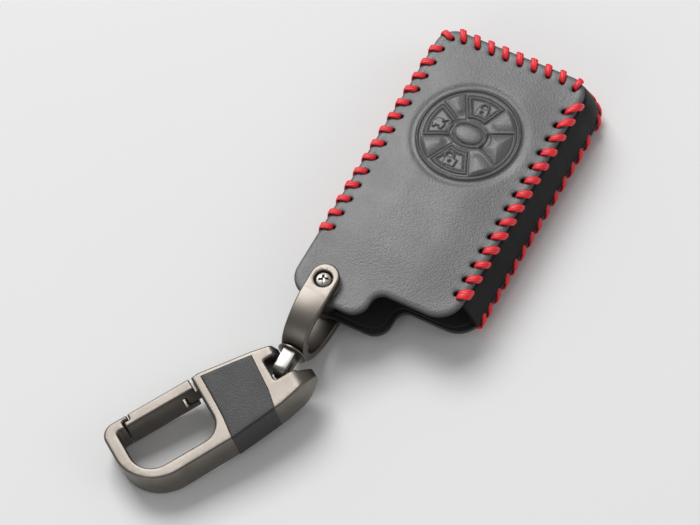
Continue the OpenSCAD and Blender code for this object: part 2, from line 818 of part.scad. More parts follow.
// Bar that closes the hook, forked round the hook's tongue, with a stepped nose
module gate() {
    knuckle = gate_pin_in - gate_gap - 2 * gate_gap;
    bar_in = -gate_side + gate_w;
    fork_end = gate_pin_y - tongue_r - 2 * gate_gap;
    gate_hole_r = gate_pin_r + run_gap;
    color(metal_colour) at_hook()
        difference() {
            translate([0, 0, -hook_t / 2]) linear_extrude(hook_t)
                polygon([[-gate_side, gate_pin_y + knuckle], [-gate_side, nose_y + nose_step],
                    [-gate_side + gate_w / 2, nose_y + nose_step], [-gate_side + gate_w / 2, nose_y],
                    [bar_in, nose_y], [bar_in, gate_pin_y + knuckle]]);
            translate([-gate_side - over, fork_end, -tongue_h / 2 - gate_gap / 2])
                cube([gate_w + 2 * over, gate_pin_y + knuckle + over - fork_end, tongue_h + gate_gap]);
            translate([gate_x, gate_pin_y, -hook_t]) cylinder(r = gate_hole_r, h = 2 * hook_t);
        }
}

front_panel();
front_lining();
back_panel();
back_lining();
gusset();
front_seam_thread();
back_seam_thread();
front_eyelet();
back_eyelet();
corner_spacer();
shackle();
shackle_screw();
swivel_screw();
swivel_washer();
swivel_link();
link_pin();
hook_frame();
leather_band();
gate_pin();
gate_spring();
gate();
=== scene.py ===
from math import acos, ceil, copysign, cos, exp, pi, radians, sin, tan
import bmesh
import bpy
import numpy as np
from mathutils import Matrix, Vector
from mathutils.geometry import delaunay_2d_cdt


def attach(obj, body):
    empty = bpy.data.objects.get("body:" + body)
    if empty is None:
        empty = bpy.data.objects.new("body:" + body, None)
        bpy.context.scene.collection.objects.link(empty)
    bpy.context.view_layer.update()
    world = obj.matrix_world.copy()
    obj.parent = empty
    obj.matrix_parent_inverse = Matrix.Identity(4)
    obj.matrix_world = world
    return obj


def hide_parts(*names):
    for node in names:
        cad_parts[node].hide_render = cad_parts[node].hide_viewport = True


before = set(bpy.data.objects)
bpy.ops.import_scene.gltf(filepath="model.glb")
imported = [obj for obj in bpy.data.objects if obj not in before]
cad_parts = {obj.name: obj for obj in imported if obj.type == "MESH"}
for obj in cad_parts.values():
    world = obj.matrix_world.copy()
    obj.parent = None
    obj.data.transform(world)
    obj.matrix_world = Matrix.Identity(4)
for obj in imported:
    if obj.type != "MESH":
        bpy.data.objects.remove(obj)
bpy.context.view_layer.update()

# Shapes are worked out in millimetres in the model's own frame and written in metres.
MM = 0.001

# camera: placed by the stitch holes of the front panel
CAMERA_TURN = 39.37
CAMERA_RISE = 60.5
CAMERA_ROLL = -12.0
CAMERA_AIM = Vector((-12.69, -29.11, 10.0)) * MM
CAMERA_DISTANCE = 943.2 * MM
CAMERA_CLIP = 50 * MM
LENS = 180.0

# pouch: its outlines and levels are those of the solids
HALF_W = 22.7
TOP_Y = 45.5
TOP_R = 5.6
TAB_Y = -45.5
STEP_X = 0.3
MOUTH_Y = -36.5
FLARE = 3.4
BACK_HALF = HALF_W + FLARE
BACK_TOP = TOP_Y + FLARE
BACK_R = TOP_R + FLARE
BACK_TAB_Y = TAB_Y + 1.7
BACK_STEP_X = 4.8
BACK_MOUTH_Y = MOUTH_Y + 3
CORNER_X = HALF_W - TOP_R
CORNER_Y = TOP_Y - TOP_R
FRONT_Z = 16.6
FRONT_IN_Z = 15.1
BACK_Z = 3.2
BACK_IN_Z = 4.7
MID_Z = 9.9
SCREW = (-13.4, -40.6)
PANEL_HOLE_R = 2.6
PANEL_EDGE_R = 0.5
PANEL_UNDER_R = 0.2
GUSSET_END = -29.3
GUSSET_T = 1.4

# stitches, counted from the top of each side
SIDE_COUNT = 14
LAST_SIDE = SIDE_COUNT - 1
TOP_COUNT = 8
PITCH = 4.8
TOP_PITCH = 4.36
LEFT_FIRST = 37.9
RIGHT_FIRST = LEFT_FIRST - 0.7 * PITCH
LEAN = 0.86
LEAN_OUT = 1.22
HOLE_INSET = 2.7
STRANDS = 11

# surface of the panels: raised middle, slow waves, dents at the stitches and thinner edges
PAD_H = 0.8
PAD_START = 1.0
PAD_SLOPE = 15.0
WAVE_H = 0.07
DENT_H, DENT_R = 0.2, 1.1
BACK_DENT_H, BACK_DENT_R = 0.4, 1.25
EDGE_DROP, EDGE_DROP_W = 0.22, 1.5
BACK_PAD_INSET, BACK_PAD_SLOPE = 6.2, 4.6
# the finely meshed strip along the edges, and the bare line outside it
STRIP_W, STRIP_START = 4.6, 0.6

# embossed ring: its line, the groove inside it, the dip round it, and the frames
RING_Y = 16.4
RING_R = 14.1
GROOVE_R = 13.35
DIP_R, DIP_W, DIP_H = 15.2, 1.1, 0.34
FRAME_IN_R = 5.4
FRAME_OUT_R = 12.4
FRAME_HALF_TURN = 26.5
SYMBOL_FRAMES = (92, 178, -92)
PLAIN_FRAME = -1
OVAL = (4.1, 2.8)
OVAL_MEAN = 3.4
OVAL_H = 0.62
SYMBOL_H, SYMBOL_SLOPE = 0.50, 0.5
RING_MESH_R, RING_FINE_R, RING_FINEST_R = 18.3, 15.6, 15.5


def new_object(name, data):
    item = bpy.data.objects.new(name, data)
    bpy.context.scene.collection.objects.link(item)
    return item


def make_camera():
    turn, rise, roll = (radians(v) for v in (CAMERA_TURN, CAMERA_RISE, CAMERA_ROLL))
    back = Vector((sin(turn) * cos(rise), -cos(turn) * cos(rise), sin(rise)))
    level = Vector((cos(turn), sin(turn), 0))
    up = back.cross(level)
    right = cos(roll) * level + sin(roll) * up
    up = back.cross(right)
    camera = new_object("camera", bpy.data.cameras.new("camera"))
    place = Matrix((right, up, back)).transposed().to_4x4()
    place.translation = CAMERA_AIM + back * CAMERA_DISTANCE
    camera.matrix_world = place
    camera.data.lens = LENS
    camera.data.clip_start = CAMERA_CLIP
    bpy.context.scene.camera = camera


# Materials

def new_material(name, colour, rough, metallic=0.0):
    mat = bpy.data.materials.new(name)
    mat.use_nodes = True
    mat.diffuse_color = (*colour, 1)
    tree = mat.node_tree
    shader = tree.nodes["Principled BSDF"]
    feed(tree, shader, {"Base Color": (*colour, 1), "Roughness": rough, "Metallic": metallic})
    return mat, tree, shader


def feed(tree, node, inputs):
    """Gives a node's inputs plain values, or links from other nodes."""
    for key, value in inputs.items():
        if isinstance(value, bpy.types.NodeSocket):
            tree.links.new(value, node.inputs[key])
        else:
            node.inputs[key].default_value = value
    return node


def new_node(tree, kind, inputs, **settings):
    node = tree.nodes.new("ShaderNode" + kind)
    for key, value in settings.items():
        setattr(node, key, value)
    return feed(tree, node, inputs)


def coords(tree, scale, kind="Object"):
    source = tree.nodes.new("ShaderNodeTexCoord").outputs[kind]
    return new_node(tree, "Mapping", {"Vector": source, "Scale": (scale,) * 3}).outputs["Vector"]


def noise(tree, vector, scale, detail, rough):
    inputs = {"Vector": vector, "Scale": scale, "Detail": detail, "Roughness": rough}
    return new_node(tree, "TexNoise", inputs).outputs["Fac"]


def cells(tree, vector, size):
    """Soft pebbles of a size: the distance from their middles."""
    inputs = {"Vector": vector, "Scale": 1 / size}
    return new_node(tree, "TexVoronoi", inputs, feature="SMOOTH_F1").outputs["Distance"]


def ramp(tree, value, stops):
    """Colours between places from 0 to 1; a plain number is a grey."""
    node = new_node(tree, "ValToRGB", {"Fac": value})
    elements = node.color_ramp.elements
    while len(elements) < len(stops):
        elements.new(0.5)
    for element, (at, colour) in zip(elements, stops):
        element.position = at
        element.color = (*colour, 1) if hasattr(colour, "__len__") else (colour, colour, colour, 1)
    return node.outputs["Color"]


def spread(tree, value, low, high, start, end):
    """Stretches a value from start..end to low..high."""
    inputs = {"Value": value, "From Min": start, "From Max": end, "To Min": low, "To Max": high}
    return new_node(tree, "MapRange", inputs).outputs["Result"]


def bump(tree, shader, height, strength, distance, under=None):
    """Relief under the shader, distance in millimetres, on top of the relief under it."""
    inputs = {"Height": height, "Strength": strength, "Distance": distance * MM}
    if under is not None:
        inputs["Normal"] = under
    normal = new_node(tree, "Bump", inputs).outputs["Normal"]
    feed(tree, shader, {"Normal": normal})
    return normal


def leather(name, dark, light, rough, cell, depth, gloss, edges=1.0):
    """Fine-grained leather: small pebbles with pores, slow changes of polish, and painted shade that darkens
    the edges and sides turned away from up.
    """
    warp_scale, warp_by, edge_rough = 0.9, 0.5, 0.35
    mat, tree, shader = new_material(name, light, sum(rough) / 2)
    place = coords(tree, 1 / MM)
    soft = new_node(tree, "TexNoise", {"Vector": place, "Scale": warp_scale}).outputs["Color"]
    warp = new_node(tree, "VectorMath", {0: soft, 1: (warp_by,) * 3, 2: place}, operation="MULTIPLY_ADD")
    grain = cells(tree, warp.outputs["Vector"], cell)
    pebble = spread(tree, grain, low=1.0, high=0.0, start=0.1, end=0.75)
    fine = noise(tree, place, scale=1.5 / cell, detail=3.0, rough=0.6)
    broad = noise(tree, place, scale=0.06, detail=3.0, rough=0.55)
    first = bump(tree, shader, pebble, strength=0.6, distance=depth)
    second = bump(tree, shader, fine, strength=0.6, distance=depth, under=first)
    bump(tree, shader, broad, strength=0.25, distance=0.5, under=second)
    polish = spread(tree, broad, *rough, start=0.3, end=0.7)
    tint = ramp(tree, fine, [(0.3, dark), (0.72, light)])
    # painted shade: the colour darkens, and the polish gets rougher, where the face turns away from up
    if edges < 1.0:
        normal = tree.nodes.new("ShaderNodeTexCoord").outputs["Normal"]
        facing = new_node(tree, "SeparateXYZ", {"Vector": normal}).outputs["Z"]
        shade = spread(tree, facing, low=edges, high=1.0, start=0.25, end=0.7)
        worn = spread(tree, facing, low=edge_rough, high=0.0, start=0.25, end=0.7)
        tint = new_node(tree, "VectorMath", {0: tint, "Scale": shade}, operation="SCALE").outputs["Vector"]
        polish = new_node(tree, "Math", {0: polish, 1: worn}, operation="ADD").outputs["Value"]
    feed(tree, shader, {"Base Color": tint, "Roughness": polish, "Specular IOR Level": gloss})
    return mat


def metal(name, dark, light, rough):
    """Satin plating: very fine grain, with a slow change of tone and polish."""
    mat, tree, shader = new_material(name, light, rough[1], metallic=1.0)
    place = coords(tree, 1 / MM)
    fine = noise(tree, place, scale=8.0, detail=2.0, rough=0.6)
    broad = noise(tree, place, scale=0.1, detail=3.0, rough=0.5)
    bump(tree, shader, fine, strength=0.12, distance=0.012)
    feed(tree, shader, {"Base Color": ramp(tree, broad, [(0.3, dark), (0.7, light)]),
                        "Roughness": spread(tree, fine, *rough, start=0.3, end=0.7)})
    return mat


def thread_material():
    """Waxed flat thread: fine strands that run along it with a slight twist."""
    bands_per_strand = 0.314
    mat, tree, shader = new_material("red_waxed_thread", (0.76, 0.025, 0.036), 0.36)
    inputs = {"Vector": coords(tree, 1.0, "UV"), "Scale": STRANDS * bands_per_strand, "Distortion": 1.1,
              "Detail": 2.0, "Detail Scale": 2.0}
    strands = new_node(tree, "TexWave", inputs, bands_direction="Y").outputs["Fac"]
    fine = noise(tree, coords(tree, 1 / MM), scale=5.0, detail=3.0, rough=0.6)
    first = bump(tree, shader, strands, strength=0.45, distance=0.08)
    bump(tree, shader, fine, strength=0.3, distance=0.05, under=first)
    tint = ramp(tree, strands,
                [(0.0, (0.72, 0.010, 0.018)), (0.5, (0.88, 0.018, 0.030)), (1.0, (0.97, 0.045, 0.058))])
    feed(tree, shader, {"Base Color": tint, "Specular IOR Level": 0.4})
    return mat


def lining_material():
    mat, tree, shader = new_material("lining_nap", (0.012, 0.012, 0.013), 0.85)
    fine = noise(tree, coords(tree, 1 / MM), scale=9.0, detail=3.0, rough=0.7)
    bump(tree, shader, fine, strength=0.4, distance=0.06)
    feed(tree, shader, {"Base Color": ramp(tree, fine, [(0.3, 0.006), (0.75, 0.02)]), "Sheen Weight": 0.2})
    return mat


def floor_material():
    mat, tree, shader = new_material("pale_floor", (0.87, 0.87, 0.865), 0.75)
    soft = noise(tree, coords(tree, 1.0), scale=9.0, detail=2.0, rough=0.5)
    tint = ramp(tree, soft, [(0.2, (0.865, 0.865, 0.86)), (0.8, (0.88, 0.88, 0.875))])
    feed(tree, shader, {"Base Color": tint, "Specular IOR Level": 0.1})
    return mat


# Mesh tools

def arc(cx, cy, r, a0, a1, steps=10):
    angles = np.radians(np.linspace(a0, a1, steps + 1))
    return [(cx + r * cos(a), cy + r * sin(a)) for a in angles]


def circle(cx, cy, r, count):
    return arc(cx, cy, r, 0, 360 - 360 / count, count - 1)


def panel_outline(hw, ty, cr, ay, ax, my, draw=0.0):
    """A panel's outline: rounded top, tab at the lower left, soft step and mouth at the lower right."""
    tab_r, inner_r, step_r, mouth_r = 6.4, 4.9, 3.2, 7.4
    return (arc(hw - cr, ty - cr, cr, 0, 90) + arc(cr - hw, ty - cr, cr, 90, 180)
            + [(-hw, GUSSET_END)]
            + arc(tab_r - hw + draw, ay + tab_r, tab_r, 180, 270)
            + arc(ax - inner_r, ay + inner_r, inner_r, 270, 350)
            + arc(ax + step_r, my - step_r, step_r, 170, 90)
            + arc(hw - mouth_r, my + mouth_r, mouth_r, 270, 360))


def resample(points, step):
    """A closed outline in steps of at most a length."""
    out = []
    for a, b in zip(points, points[1:] + points[:1]):
        a, b = np.array(a), np.array(b)
        length = np.linalg.norm(b - a)
        if length > 1e-4:
            count = ceil(length / step)
            out += [tuple(a + (b - a) * i / count) for i in range(count)]
    return out


def area_of(points):
    p = np.array(points)
    q = np.roll(p, -1, axis=0)
    return 0.5 * float(np.sum(p[:, 0] * q[:, 1] - q[:, 0] * p[:, 1]))


def counterclockwise(points):
    return points if area_of(points) > 0 else points[::-1]


def inset_loop(points, depth):
    p = np.array(points)
    before = p - np.roll(p, 1, axis=0)
    after = np.roll(p, -1, axis=0) - p
    before /= np.linalg.norm(before, axis=1)[:, None]
    after /= np.linalg.norm(after, axis=1)[:, None]
    normal = np.stack([-(before + after)[:, 1], (before + after)[:, 0]], axis=1)
    normal /= np.maximum(np.linalg.norm(normal, axis=1), 1e-6)[:, None]
    cosine = np.clip(np.sum(normal * np.stack([-after[:, 1], after[:, 0]], axis=1), axis=1), 0.7, 1)
    return p + normal * (depth / cosine)[:, None]


def soften(points, radius):
    """Rounds the sharp corners of a closed outline."""
    least_bend, steps, most_share = radians(16), 4, 0.45
    out = []
    count = len(points)
    for i in range(count):
        p0, p1, p2 = (np.array(points[(i + k) % count]) for k in (-1, 0, 1))
        a, b = p0 - p1, p2 - p1
        la, lb = np.linalg.norm(a), np.linalg.norm(b)
        bend = acos(float(np.clip(np.dot(a, b) / (la * lb), -1, 1)))
        if pi - bend < least_bend:
            out.append(tuple(p1))
            continue
        reach = min(radius / tan(bend / 2), most_share * la, most_share * lb)
        start, end = p1 + a / la * reach, p1 + b / lb * reach
        for k in range(steps + 1):
            t = k / steps
            out.append(tuple((1 - t) ** 2 * start + 2 * t * (1 - t) * p1 + t * t * end))
    return out


def signed_depth(points, loop):
    """Distance of points to a closed loop, positive inside."""
    a = np.array(loop)
    b = np.roll(a, -1, axis=0)
    best = np.full(len(points), 1e9)
    inside = np.zeros(len(points), bool)
    for (ax, ay), (bx, by) in zip(a, b):
        dx, dy = bx - ax, by - ay
        length2 = dx * dx + dy * dy
        if length2 < 1e-12:
            continue
        px, py = points[:, 0] - ax, points[:, 1] - ay
        t = np.clip((px * dx + py * dy) / length2, 0, 1)
        best = np.minimum(best, np.hypot(px - t * dx, py - t * dy))
        if abs(dy) > 1e-12:
            crosses = (ay > points[:, 1]) != (by > points[:, 1])
            inside ^= crosses & (points[:, 0] < ax + (points[:, 1] - ay) * dx / dy)
    return np.where(inside, best, -best)


def grid_points(x0, x1, y0, y1, step):
    """Points in a pattern of even triangles."""
    xs = np.arange(x0, x1 + step, step)
    ys = np.arange(y0, y1 + step, step * 0.866)
    gx, gy = np.meshgrid(xs, ys)
    gx = gx + (np.arange(len(ys)) % 2)[:, None] * step / 2
    return np.stack([gx.ravel(), gy.ravel()], axis=1)


def triangles(points, loops):
    """Triangles over the points, inside the first loop and outside the others."""
    verts = [Vector(p) for p in points]
    edges = []
    for start, count in loops:
        edges += [(start + i, start + (i + 1) % count) for i in range(count)]
    got, _, faces, origin, _, _ = delaunay_2d_cdt(verts, edges, [], 0, 1e-5)
    xy = np.array([tuple(v) for v in got])
    index = [o[0] if o else -1 for o in origin]
    faces = np.array(faces)
    middle = xy[faces].mean(axis=1)
    keep = np.ones(len(faces), bool)
    for number, (start, count) in enumerate(loops):
        depth = signed_depth(middle, np.array(points[start:start + count]))
        keep &= depth > 0 if number == 0 else depth < 0
    return xy, faces[keep], index


def shade_smooth(mesh, sharp):
    mesh.polygons.foreach_set("use_smooth", [True] * len(mesh.polygons))
    mesh.set_sharp_from_angle(angle=radians(sharp))


def place_piece(name, mesh, material, body, nodes):
    piece = new_object(name, mesh)
    mesh.materials.append(material)
    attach(piece, body)
    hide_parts(*nodes)
    return piece


def new_mesh(name, verts, faces):
    mesh = bpy.data.meshes.new(name)
    mesh.from_pydata([tuple(float(c) * MM for c in v) for v in verts], [],
                     [tuple(int(i) for i in f) for f in faces])
    return mesh


def new_piece(name, verts, faces, material, body, nodes, sharp, uv=None):
    """A dressed piece from points in millimetres; edges above an angle in degrees stay sharp."""
    mesh = new_mesh(name, verts, faces)
    if uv is not None:
        mesh.uv_layers.new(name="wrap").data.foreach_set("uv", [c for pair in uv for c in pair])
    work = bmesh.new()
    work.from_mesh(mesh)
    bmesh.ops.recalc_face_normals(work, faces=work.faces)
    work.to_mesh(mesh)
    work.free()
    shade_smooth(mesh, sharp)
    return place_piece(name, mesh, material, body, nodes)


def rounded(depth, radius):
    """Drop of a rounded edge at a distance from it."""
    t = np.clip(1 - depth / radius, 0, 1)
    return radius * (1 - np.sqrt(np.clip(1 - t * t, 0, 1)))


def flat(z):
    """A face of a plate at one level."""
    return lambda x, y: np.full(len(x), z)


# rings of points along a plate's edge and its holes, as shares of the round there
EDGE_SHARES = (0.12, 0.36, 0.72, 1.1)
INNER_SHARE = 1.25
HOLE_SHARES = (0.35, 1.0)
HOLE_ROUND = 0.3
HOLE_CLEAR = 0.32
RIM_CLEAR = 0.02


def plate(outline, holes, top, bottom, radius, extra, step, under_radius=None, under_step=3.0):
    """A closed plate with rounded edges: top(x, y) and bottom(x, y) give its faces."""
    under_radius = radius if under_radius is None else under_radius
    outer = resample(counterclockwise(outline), step)
    holes = [counterclockwise(h) for h in holes]
    loops, rim = [(0, len(outer))], list(outer)
    for hole in holes:
        loops.append((len(rim), len(hole)))
        rim += list(hole)
    rim = np.array(rim)

    def face(height, sign, r, points):
        hole_r = min(r, HOLE_ROUND)
        rings = [inset_loop(outer, r * share) for share in EDGE_SHARES]
        rings += [inset_loop(h[::-1], hole_r * share) for h in holes for share in HOLE_SHARES]
        rings = [p[signed_depth(p, outer) > RIM_CLEAR] for p in rings]
        inner = points[signed_depth(points, outer) > r * INNER_SHARE]
        for hole in holes:
            inner = inner[signed_depth(inner, hole) < -HOLE_CLEAR]
        xy, tris, index = triangles(np.vstack([rim] + rings + [inner]), loops)
        drop = rounded(np.maximum(signed_depth(xy, outer), 0), r)
        for hole in holes:
            drop = np.maximum(drop, rounded(np.maximum(-signed_depth(xy, hole), 0), hole_r))
        return xy, height(xy[:, 0], xy[:, 1]) - sign * drop, tris, index

    xy1, z1, tri1, index1 = face(top, 1, radius, extra)
    xy2, z2, tri2, index2 = face(bottom, -1, under_radius, grid_points(*outline_box(outer), under_step))
    verts = [*np.column_stack([xy1, z1]), *np.column_stack([xy2, z2])]
    faces = [tuple(t) for t in tri1] + [tuple(t + len(xy1))[::-1] for t in tri2]
    up = {o: i for i, o in enumerate(index1) if o >= 0}
    low = {o: i + len(xy1) for i, o in enumerate(index2) if o >= 0}
    for start, count in loops:
        for i in range(count):
            a, b = start + i, start + (i + 1) % count
            if a in up and b in up and a in low and b in low:
                faces.append((up[a], low[a], low[b], up[b]))
    return verts, faces


def outline_box(points):
    """Least and most x, least and most y."""
    p = np.array(points)
    return p[:, 0].min(), p[:, 0].max(), p[:, 1].min(), p[:, 1].max()


def smooth(t):
    """Rises softly from 0 to 1."""
    t = np.clip(t, 0, 1)
    return t * t * (3 - 2 * t)


def line(distance, at, half, height):
    """A raised line where a distance has a value, or a groove where its height is below zero."""
    return height * 0.5 * (1 + np.cos(pi * np.clip(np.abs(distance - at) / half, 0, 1)))


def mound(depth, start, reach, height):
    """A soft swell that begins at a depth and is full after its reach."""
    return height * np.sin(0.5 * pi * np.clip((depth - start) / reach, 0, 1))


def box_depth(x, y, cx, cy, hx, hy, r):
    """Depth inside a box with round corners."""
    qx, qy = np.abs(x - cx) - hx + r, np.abs(y - cy) - hy + r
    return r - np.hypot(np.maximum(qx, 0), np.maximum(qy, 0)) - np.minimum(np.maximum(qx, qy), 0)


def smooth_path(points, count):
    """A smooth curve through points, in even steps between them."""
    p = np.array(points, float)
    p = np.vstack([2 * p[0] - p[1], p, 2 * p[-1] - p[-2]])
    out = []
    for u in np.linspace(0, len(points) - 1, count):
        i = min(int(u), len(points) - 2)
        t = u - i
        a, b, c, d = p[i], p[i + 1], p[i + 2], p[i + 3]
        bent = (2 * a - 5 * b + 4 * c - d) * t * t + (3 * b - a - 3 * c + d) * t ** 3
        out.append(0.5 * (2 * b + (c - a) * t + bent))
    return np.array(out)


def loft(rows):
    """Faces over rows of equally many points, each row a closed ring, with a cap at each end."""
    verts = [tuple(p) for row in rows for p in row]
    n = len(rows[0])
    pairs = [(i * n + k, i * n + (k + 1) % n) for i in range(len(rows) - 1) for k in range(n)]
    faces = [(a, b, b + n, a + n) for a, b in pairs]
    faces += [tuple(range(n - 1, -1, -1)), tuple(range(len(verts) - n, len(verts)))]
    return verts, faces


def joined(parts):
    verts, faces = [], []
    for v, f in parts:
        faces += [tuple(i + len(verts) for i in face) for face in f]
        verts += [tuple(p) for p in v]
    return verts, faces


# thread: points round it, its lumps and their twist, and how its wrap runs along each millimetre
THREAD_SIDES = 18
LUMPS, LUMP_H, LUMP_TWIST = 6, 0.04, 1.6
WRAP_RUN, WRAP_TWIST = 0.12, 0.05


def thread(path, wide, half_w, half_t, turn):
    """A flat thread along a path: points, faces and wrap coordinates."""
    tangent = np.gradient(path, axis=0)
    run = np.concatenate([[0], np.cumsum(np.linalg.norm(np.diff(path, axis=0), axis=1))])
    rows, uv = [], []
    for i in range(len(path)):
        t = tangent[i] / np.linalg.norm(tangent[i])
        w = wide - t * np.dot(wide, t)
        w /= np.linalg.norm(w)
        n = np.cross(t, w)
        row = []
        for a in (2 * pi * k / THREAD_SIDES for k in range(THREAD_SIDES)):
            lump = 1 + LUMP_H * cos(LUMPS * a + turn + run[i] * LUMP_TWIST)
            row.append(path[i] + w * half_w[i] * cos(a) * lump + n * half_t[i] * sin(a) * lump)
        rows.append(row)
    for i in range(len(path) - 1):
        for k in range(THREAD_SIDES):
            for at, step in ((i, k), (i, k + 1), (i + 1, k + 1), (i + 1, k)):
                uv.append((run[at] * WRAP_RUN + turn, step / THREAD_SIDES + run[at] * WRAP_TWIST))
    uv += [(0.0, 0.0)] * (2 * THREAD_SIDES)
    verts, faces = loft(rows)
    return verts, faces, uv


# Pouch

def ways(turn):
    """Outward and sideways directions at a turn in degrees."""
    c, s = cos(radians(turn)), sin(radians(turn))
    return np.array([c, s]), np.array([-s, c])


def stitch_places(half, top, radius, lean, corners):
    """Places and turns of the stitches round an edge: x, y, turn in degrees, side and number."""
    top_shift, last_shift = 0.3, 1.3
    places = []
    for i in range(SIDE_COUNT):
        back = last_shift if lean < 0 and i == LAST_SIDE else 0.0
        places.append((-half, LEFT_FIRST - i * PITCH - lean + back, 180.0, "left", i))
        places.append((half, RIGHT_FIRST - i * PITCH + lean + back, 0.0, "right", i))
    for i in range(TOP_COUNT):
        places.append(((i - (TOP_COUNT - 1) / 2) * TOP_PITCH - lean - top_shift, top, 90.0, "top", i))
    for i, turn in enumerate(corners):
        (c, s), _ = ways(turn)
        side, sign = ("near_top", 1) if turn < 90 else ("near_left", -1)
        places.append(((half - radius) * sign + radius * c, top - radius + radius * s, turn, side, i))
    return places


def stitch_holes(places, shift):
    """Slanted oval holes at the inner ends of some stitches, and their centres."""
    loops, centres = [], []
    for x, y, turn, side, _ in places:
        long, short = (1.02, 0.74) if side == "right" else (0.92, 0.62)
        out, aside = ways(turn)
        centre = np.array([x, y]) - out * HOLE_INSET - aside * shift
        along = out * 0.85 + aside * 0.53
        across = np.array([-along[1], along[0]])
        loops.append([tuple(centre + along * long * c + across * short * s) for c, s in circle(0, 0, 1, 14)])
        centres.append(centre)
    return loops, np.array(centres)


def dents(x, y, centres, height, radius):
    """Soft hollows round some places."""
    near = np.min([np.hypot(x - cx, y - cy) for cx, cy in centres], axis=0)
    return height * np.exp(-(near / radius) ** 2)


def strip_points(outline, box, step, edge_step):
    """Points inside an outline, and closer ones in the strip along its edge."""
    inner, edge = grid_points(*box, step), grid_points(*box, edge_step)
    depth = signed_depth(edge, outline)
    return inner[signed_depth(inner, outline) > STRIP_W], edge[(depth > STRIP_START) & (depth <= STRIP_W)]


def front_relief(x, y):
    """Embossed ring, frames, petals, oval and symbols, as height over the panel's face."""
    dx, dy = x, y - RING_Y
    r = np.hypot(dx, dy)
    angle = np.degrees(np.arctan2(dy, dx))

    def frame_depth(centre):
        off = np.abs((angle - centre + 180) % 360 - 180)
        side = r * np.sin(np.radians(np.clip(FRAME_HALF_TURN - off, -60, 60)))
        return np.minimum(np.minimum(r - FRAME_IN_R, FRAME_OUT_R - r), side)

    framed = np.maximum.reduce([frame_depth(centre) for centre in SYMBOL_FRAMES])
    plain = frame_depth(PLAIN_FRAME)
    between = -np.maximum(framed, plain)
    height = line(r, at=RING_R, half=0.5, height=0.50) + line(r, at=GROOVE_R, half=0.5, height=-0.26)
    height -= DIP_H * np.exp(-((r - DIP_R) / DIP_W) ** 2)
    petals = mound(between, start=0.1, reach=3.4, height=0.66)
    height += petals * smooth((r - 5.9) / 2.4) * smooth((13.5 - r) / 1.6)
    frames = line(framed, at=-0.4, half=0.4, height=-0.26) + line(framed, at=0.1, half=0.3, height=0.34)
    frames += line(framed, at=0.85, half=0.28, height=0.30) - 0.24 * smooth((framed - 1.0) / 0.6)
    frames += mound(plain, start=0.4, reach=3.2, height=0.74) + line(plain, at=0.1, half=0.4, height=-0.28)
    frames += line(plain, at=-0.45, half=0.3, height=0.22)
    height += frames * smooth((13.4 - r) / 0.9)
    oval = np.hypot(dx / OVAL[0], dy / OVAL[1])
    height += OVAL_H * np.sqrt(np.clip(1 - oval * oval, 0, 1))
    for at, half, rise in ((1.27, 0.55, 0.34), (1.04, 0.3, -0.20), (1.52, 0.4, -0.22)):
        height += line(oval * OVAL_MEAN, at=at * OVAL_MEAN, half=half, height=rise)
    for symbol in (padlock(dx, dy, cx=0.1, cy=7.6, swing=0.0), padlock(dx, dy, cx=-0.7, cy=-9.7, swing=-0.9),
                   vehicle(dx, dy, cx=-9.1, cy=0.2)):
        height += SYMBOL_H * smooth((symbol + 0.2) / SYMBOL_SLOPE)
    return height


def padlock(x, y, cx, cy, swing):
    """Depth inside a padlock with a keyhole, its bow moved aside by its swing."""
    bow_r, bow_half, hole_r, bow_foot = 1.15, 0.32, 0.36, 0.9
    body = box_depth(x, y, cx, cy, 1.75, 1.3, 0.35)
    hole = hole_r - np.hypot(x - cx, y - cy)
    bow_x, bow_y = cx + swing, cy + 1.7
    bow = bow_half - np.abs(np.hypot(x - bow_x, np.maximum(y - bow_y, 0)) - bow_r)
    bow = np.where(y > cy + bow_foot, bow, -1.0)
    return np.maximum(np.minimum(body, -hole), bow)


def vehicle(x, y, cx, cy):
    """Depth inside a small car seen from its side, with its lid open."""
    wheel_r, wheel_x, wheel_y = 0.55, 1.05, 1.4
    body = box_depth(x, y, cx, cy - 0.45, 1.85, 0.8, 0.6)
    cabin = box_depth(x, y, cx - 0.2, cy + 0.55, 1.15, 0.75, 0.6)
    lid = 0.3 - np.abs((y - cy - 0.45) - (x - cx - 0.8) * 0.9)
    lid = np.where((x > cx + 0.9) & (x < cx + 2.0), lid, -1.0)
    wheels = wheel_r - np.hypot(np.abs(x - cx) - wheel_x, y - cy + wheel_y)
    return np.maximum(np.maximum(body, cabin), np.maximum(lid, wheels))


